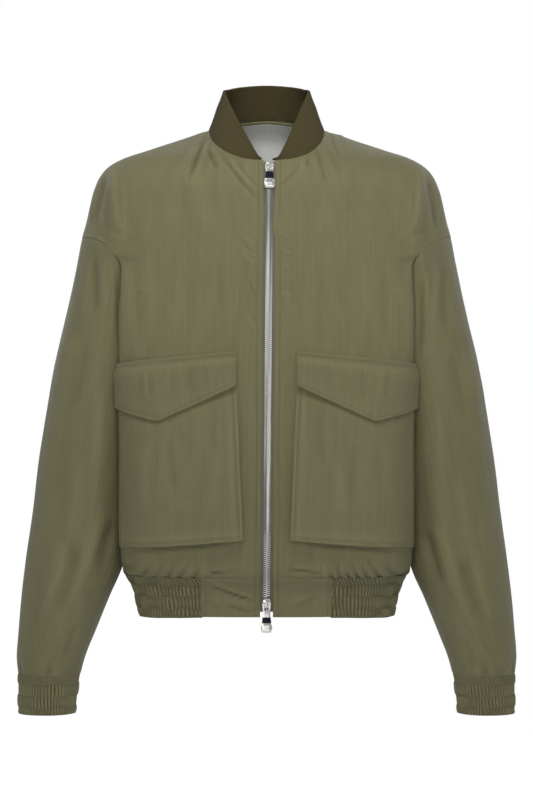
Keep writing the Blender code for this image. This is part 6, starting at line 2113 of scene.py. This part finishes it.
def facing_painted_light_material():
    """The shell cloth at twice its brightness: painted light on the facing, which lies in the collar's
    shade.
    """
    s = settings()
    return cloth_material(
        "facing_nylon_cloth", shade(s.shell_colour, 2.0), 0.07, woven_group(),
        {"Threads": s.threads, "Streaks": s.streaks, "Crumple": s.crumple}, 0.0004, Roughness=0.6,
    )


def rib_material():
    s = settings()
    return cloth_material(
        "rib_knit_cloth", s.rib_colour, 0.14, rib_group(), {"Ribs": s.ribs, "Loops": s.ribs * 1.3},
        0.0003, Roughness=0.85, Sheen_Weight=0.02, Sheen_Roughness=0.5, Specular_IOR_Level=0.1,
    )


def lining_material():
    s = settings()
    return cloth_material(
        "lining_cotton_cloth", s.lining_colour, 0.04, woven_group(),
        {"Threads": 2200.0, "Streaks": 0.3, "Crumple": 0.8}, 0.0006,
        Roughness=0.8, Specular_IOR_Level=0.25,
    )


def tape_material():
    s = settings()
    return cloth_material(
        "zip_tape_cloth", s.tape_colour, 0.12, rib_group(), {"Ribs": 900.0, "Loops": 1400.0}, 0.0002,
        Roughness=0.75, Specular_IOR_Level=0.25,
    )


def object_material(name, colour, spread, rubbing, **shader_values):
    if name in bpy.data.materials:
        return bpy.data.materials[name]
    material, tree, shader = new_material(name, **shader_values)
    place = tree.nodes.new("ShaderNodeTexCoord")
    wear = tree.nodes.new("ShaderNodeGroup")
    wear.node_tree = metal_group()
    wear.inputs["Rubbing"].default_value = rubbing
    tree.links.new(place.outputs["Object"], wear.inputs["Place"])
    tinted(tree, wear.outputs["Tone"], shade(colour, 1 - spread), shade(colour, 1 + spread), shader)
    tree.links.new(wear.outputs["Roughness"], shader.inputs["Roughness"])
    return material


def metal_material():
    return object_material("zip_nickel", settings().metal_colour, 0.05, 0.6, Metallic=1.0)


def enamel_material():
    return object_material("pull_enamel", (0.006, 0.008, 0.016), 0.2, 0.5, Specular_IOR_Level=0.15)


def thread_material():
    s = settings()
    return object_material("sewing_thread", s.thread_colour, 0.12, 1.0, Specular_IOR_Level=0.3)


# ------------------------------------------------------------------ stage


def make_camera():
    data = bpy.data.cameras.new("camera")
    data.sensor_fit = "VERTICAL"
    data.sensor_height = SENSOR
    data.lens = SENSOR / (2 * VIEW_HALF_HEIGHT / VIEW_DISTANCE)
    camera = bpy.data.objects.new("camera", data)
    camera.location = (0, -VIEW_DISTANCE, VIEW_HEIGHT)
    camera.rotation_euler = (math.pi / 2, 0, 0)
    bpy.context.scene.collection.objects.link(camera)
    bpy.context.scene.camera = camera


def make_floor():
    mesh = bmesh.new()
    bmesh.ops.create_circle(mesh, segments=96, radius=FLOOR_RADIUS, cap_ends=True)
    bmesh.ops.translate(mesh, vec=(0, 0, FLOOR_HEIGHT), verts=mesh.verts[:])
    floor = bpy.data.objects.new("studio_floor", mesh_data("studio_floor", mesh))
    bpy.context.scene.collection.objects.link(floor)
    material, tree, shader = new_material("floor_white", Roughness=0.9, Emission_Strength=1.0)
    shader.inputs["Base Color"].default_value = (0.8, 0.8, 0.8, 1)
    path = tree.nodes.new("ShaderNodeLightPath")
    glow = tree.nodes.new("ShaderNodeMapRange")
    glow.inputs["To Min"].default_value = FLOOR_GLOW
    tree.links.new(path.outputs["Is Camera Ray"], glow.inputs["Value"])
    tree.links.new(glow.outputs[0], shader.inputs["Emission Color"])
    floor.data.materials.append(material)


def make_light(name, place, aim, size, spread, power):
    data = bpy.data.lights.new(name, "AREA")
    data.shape = "RECTANGLE"
    data.size, data.size_y = size
    data.spread = math.radians(spread)
    data.energy = power
    light = bpy.data.objects.new(name, data)
    light.location = place
    light.rotation_euler = (Vector(aim) - Vector(place)).to_track_quat("-Z", "Y").to_euler()
    light.visible_glossy = False
    bpy.context.scene.collection.objects.link(light)


def make_world():
    """Even pale surroundings, a little brighter above, and plain white where the camera looks."""
    world = bpy.data.worlds.new("studio")
    world.use_nodes = True
    tree = world.node_tree
    back = tree.nodes["Background"]
    place = tree.nodes.new("ShaderNodeTexCoord")
    split = tree.nodes.new("ShaderNodeSeparateXYZ")
    tree.links.new(place.outputs["Generated"], split.inputs[0])
    rise = tree.nodes.new("ShaderNodeMapRange")
    reach = {"From Min": -1.0, "From Max": 1.0, "To Min": WORLD_LOW, "To Max": WORLD_HIGH}
    for name, value in reach.items():
        rise.inputs[name].default_value = value
    tree.links.new(split.outputs[2], rise.inputs["Value"])
    path = tree.nodes.new("ShaderNodeLightPath")
    slant = tree.nodes.new("ShaderNodeVectorMath")
    slant.operation = "DOT_PRODUCT"
    tree.links.new(place.outputs["Generated"], slant.inputs[0])
    slant.inputs[1].default_value = GLOSS_BANDS
    bands = math_node(tree, "SINE", slant.outputs["Value"])
    bands = math_node(tree, "MAXIMUM", times(tree, bands, 2 * WORLD_GLOSS), 0.0)
    shine = times(tree, path.outputs["Is Glossy Ray"], bands)
    strength = math_node(tree, "MAXIMUM", rise.outputs[0], path.outputs["Is Camera Ray"])
    strength = math_node(tree, "MAXIMUM", strength, shine)
    back.inputs["Color"].default_value = (1, 1, 1, 1)
    tree.links.new(strength, back.inputs["Strength"])
    bpy.context.scene.world = world


# ------------------------------------------------------------------ add-on


def colour_property(name, value, text):
    kind = {"subtype": "COLOR", "size": 3, "min": 0, "max": 1}
    return FloatVectorProperty(name=name, description=text, default=value, **kind)


def share_property(name, value, text, most=4):
    return FloatProperty(name=name, description=text, default=value, min=0, max=most)


def length_property(name, value, text):
    return FloatProperty(name=name, description=text, default=value, unit="LENGTH")


def count_property(name, value, text):
    return FloatProperty(name=name, description=text, default=value)


class JacketSettings(bpy.types.PropertyGroup):
    """Sizes and colours of the jacket's cloth, stitches and zip."""

    shell_colour: colour_property("Shell", (0.150, 0.140, 0.071), "Colour of the shell cloth")
    rib_colour: colour_property("Rib", (0.071, 0.058, 0.026), "Colour of the collar's rib knit")
    lining_colour: colour_property("Lining", (0.88, 0.88, 0.84), "Colour of the neck's lining")
    tape_colour: colour_property("Zip tape", (0.155, 0.150, 0.112), "Colour of the zip's tape")
    thread_colour: colour_property("Thread", (0.075, 0.070, 0.040), "Colour of the sewing thread")
    metal_colour: colour_property("Zip metal", (0.76, 0.74, 0.72), "Colour of the zip's plated metal")
    crease_depth: share_property("Creases", 1.7, "How deep the creases are, as a share")
    drape: length_property("Drape", 0.00032, "Height of the soft hills in the cloth")
    threads: count_property("Threads", 2600.0, "Threads per metre of the shell cloth")
    streaks: share_property("Streaks", 1.4, "Strength of the warp's streaks")
    # Strength of the painted shade where the cloth dips and the painted highlight on its crests.
    painted_shading: share_property("Hollows", 0.32, "Darkening in the cloth's hollows", 1)
    crumple: share_property("Crumple", 0.6, "Strength of the fine crumple")
    ribs: count_property("Ribs", 620.0, "Ribs per metre of the collar")
    stitch_length: length_property("Stitch", 0.0026, "Length of a stitch")
    stitch_gap: length_property("Stitch gap", 0.0007, "Gap between stitches")
    tooth_pitch: length_property("Tooth pitch", 0.0026, "From one tooth to the next")


def settings():
    return bpy.context.scene.jacket


class JacketOperator:
    """What the jacket's operators share."""

    bl_options = {"REGISTER", "UNDO"}

    def execute(self, context):
        self.make()
        return {"FINISHED"}


def for_each_side(maker):
    for side, hand in SIDES.items():
        maker(side, hand)


class JACKET_OT_fronts(JacketOperator, bpy.types.Operator):
    """Cut and crease the two front panels"""

    bl_idname = "jacket.fronts"
    bl_label = "Fronts"

    def make(self):
        for_each_side(make_front)


class JACKET_OT_back(JacketOperator, bpy.types.Operator):
    """Cut and crease the back panel"""

    bl_idname = "jacket.back"
    bl_label = "Back"

    def make(self):
        make_back()


class JACKET_OT_sleeves(JacketOperator, bpy.types.Operator):
    """Hang the two sleeves"""

    bl_idname = "jacket.sleeves"
    bl_label = "Sleeves"

    def make(self):
        for_each_side(make_sleeve)


class JACKET_OT_cuffs(JacketOperator, bpy.types.Operator):
    """Shirr the two cuffs"""

    bl_idname = "jacket.cuffs"
    bl_label = "Cuffs"

    def make(self):
        for_each_side(make_cuff)


class JACKET_OT_hem(JacketOperator, bpy.types.Operator):
    """Shirr the hem band and lay its two plain tabs"""

    bl_idname = "jacket.hem"
    bl_label = "Hem"

    def make(self):
        make_hem_elastic()
        for_each_side(make_hem_tab)


class JACKET_OT_neck(JacketOperator, bpy.types.Operator):
    """Knit the collar and lay the facing and the lining inside the neck"""

    bl_idname = "jacket.neck"
    bl_label = "Collar and Neck"

    def make(self):
        make_collar()
        facing = np.linspace(FACING_FOLD + SEAM, NECK_BACK.height - SEAM, 4)
        inside_back(
            "neck_facing_cloth", "neck_facing", facing, "shell_nylon",
            (0.250, 0.016), facing_painted_light_material(), 0.0,
        )
        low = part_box("back_lining")[0].z
        base = NETS["back"].at(0.0, np.array([-0.10]))[0, 2] + 0.10
        lining = np.linspace(max(low - base, -0.1), FACING_FOLD - SEAM, 60)
        inside_back(
            "back_lining_cloth", "back_lining", lining, "lining_cotton",
            (0.400, 0.200), lining_material(), 0.00025,
        )


class JACKET_OT_pockets(JacketOperator, bpy.types.Operator):
    """Set the two bellows pockets and their flaps"""

    bl_idname = "jacket.pockets"
    bl_label = "Pockets and Flaps"

    def make(self):
        for_each_side(make_pocket)
        for_each_side(make_flap)


class JACKET_OT_zip(JacketOperator, bpy.types.Operator):
    """Make the zip's tapes, teeth, sliders and pulls"""

    bl_idname = "jacket.zip"
    bl_label = "Zip"

    def make(self):
        for_each_side(make_zip_tape)
        make_zip_chain()
        for slider in SLIDERS:
            make_slider(slider)
            make_pull(slider)
            make_inlay(slider)


class JACKET_OT_stitching(JacketOperator, bpy.types.Operator):
    """Sew the rows of stitches"""

    bl_idname = "jacket.stitching"
    bl_label = "Stitching"

    def make(self):
        for side, hand in SIDES.items():
            stitched("stitches_front_" + side, [placket_line(hand)])
            stitched("stitches_pocket_" + side, pocket_lines(side, hand))
            stitched("stitches_flap_" + side, flap_lines(side, hand))
            stitched("stitches_tab_" + side, tab_lines(side, hand))
            stitched("stitches_cuff_" + side, cuff_lines(hand))
            stitched("stitches_sleeve_" + side, [sleeve_line(hand)])
        stitched("stitches_hem", hem_lines())


class JACKET_OT_stage(JacketOperator, bpy.types.Operator):
    """Set the camera, the lights, the floor and the surroundings"""

    bl_idname = "jacket.stage"
    bl_label = "Stage"

    def make(self):
        bpy.context.scene.view_settings.view_transform = "Standard"
        make_camera()
        make_floor()
        make_world()
        for light in LIGHTS:
            make_light(*light)


OPERATORS = (
    JACKET_OT_stage,
    JACKET_OT_fronts,
    JACKET_OT_back,
    JACKET_OT_sleeves,
    JACKET_OT_cuffs,
    JACKET_OT_hem,
    JACKET_OT_neck,
    JACKET_OT_pockets,
    JACKET_OT_zip,
    JACKET_OT_stitching,
)


class JACKET_PT_panel(bpy.types.Panel):
    """Lists the jacket's pieces and settings"""

    bl_label = "Jacket"
    bl_idname = "JACKET_PT_panel"
    bl_space_type = "VIEW_3D"
    bl_region_type = "UI"
    bl_category = "Jacket"

    def draw(self, context):
        for name in JacketSettings.__annotations__:
            self.layout.prop(context.scene.jacket, name)
        for operator in OPERATORS:
            self.layout.operator(operator.bl_idname)


CLASSES = (JacketSettings, *OPERATORS, JACKET_PT_panel)


def register():
    for cls in CLASSES:
        bpy.utils.register_class(cls)
    bpy.types.Scene.jacket = PointerProperty(type=JacketSettings)


def unregister():
    del bpy.types.Scene.jacket
    for cls in reversed(CLASSES):
        bpy.utils.unregister_class(cls)


def main():
    register()
    for operator in OPERATORS:
        group, name = operator.bl_idname.split(".")
        getattr(getattr(bpy.ops, group), name)()


if __name__ == "__main__":
    main()
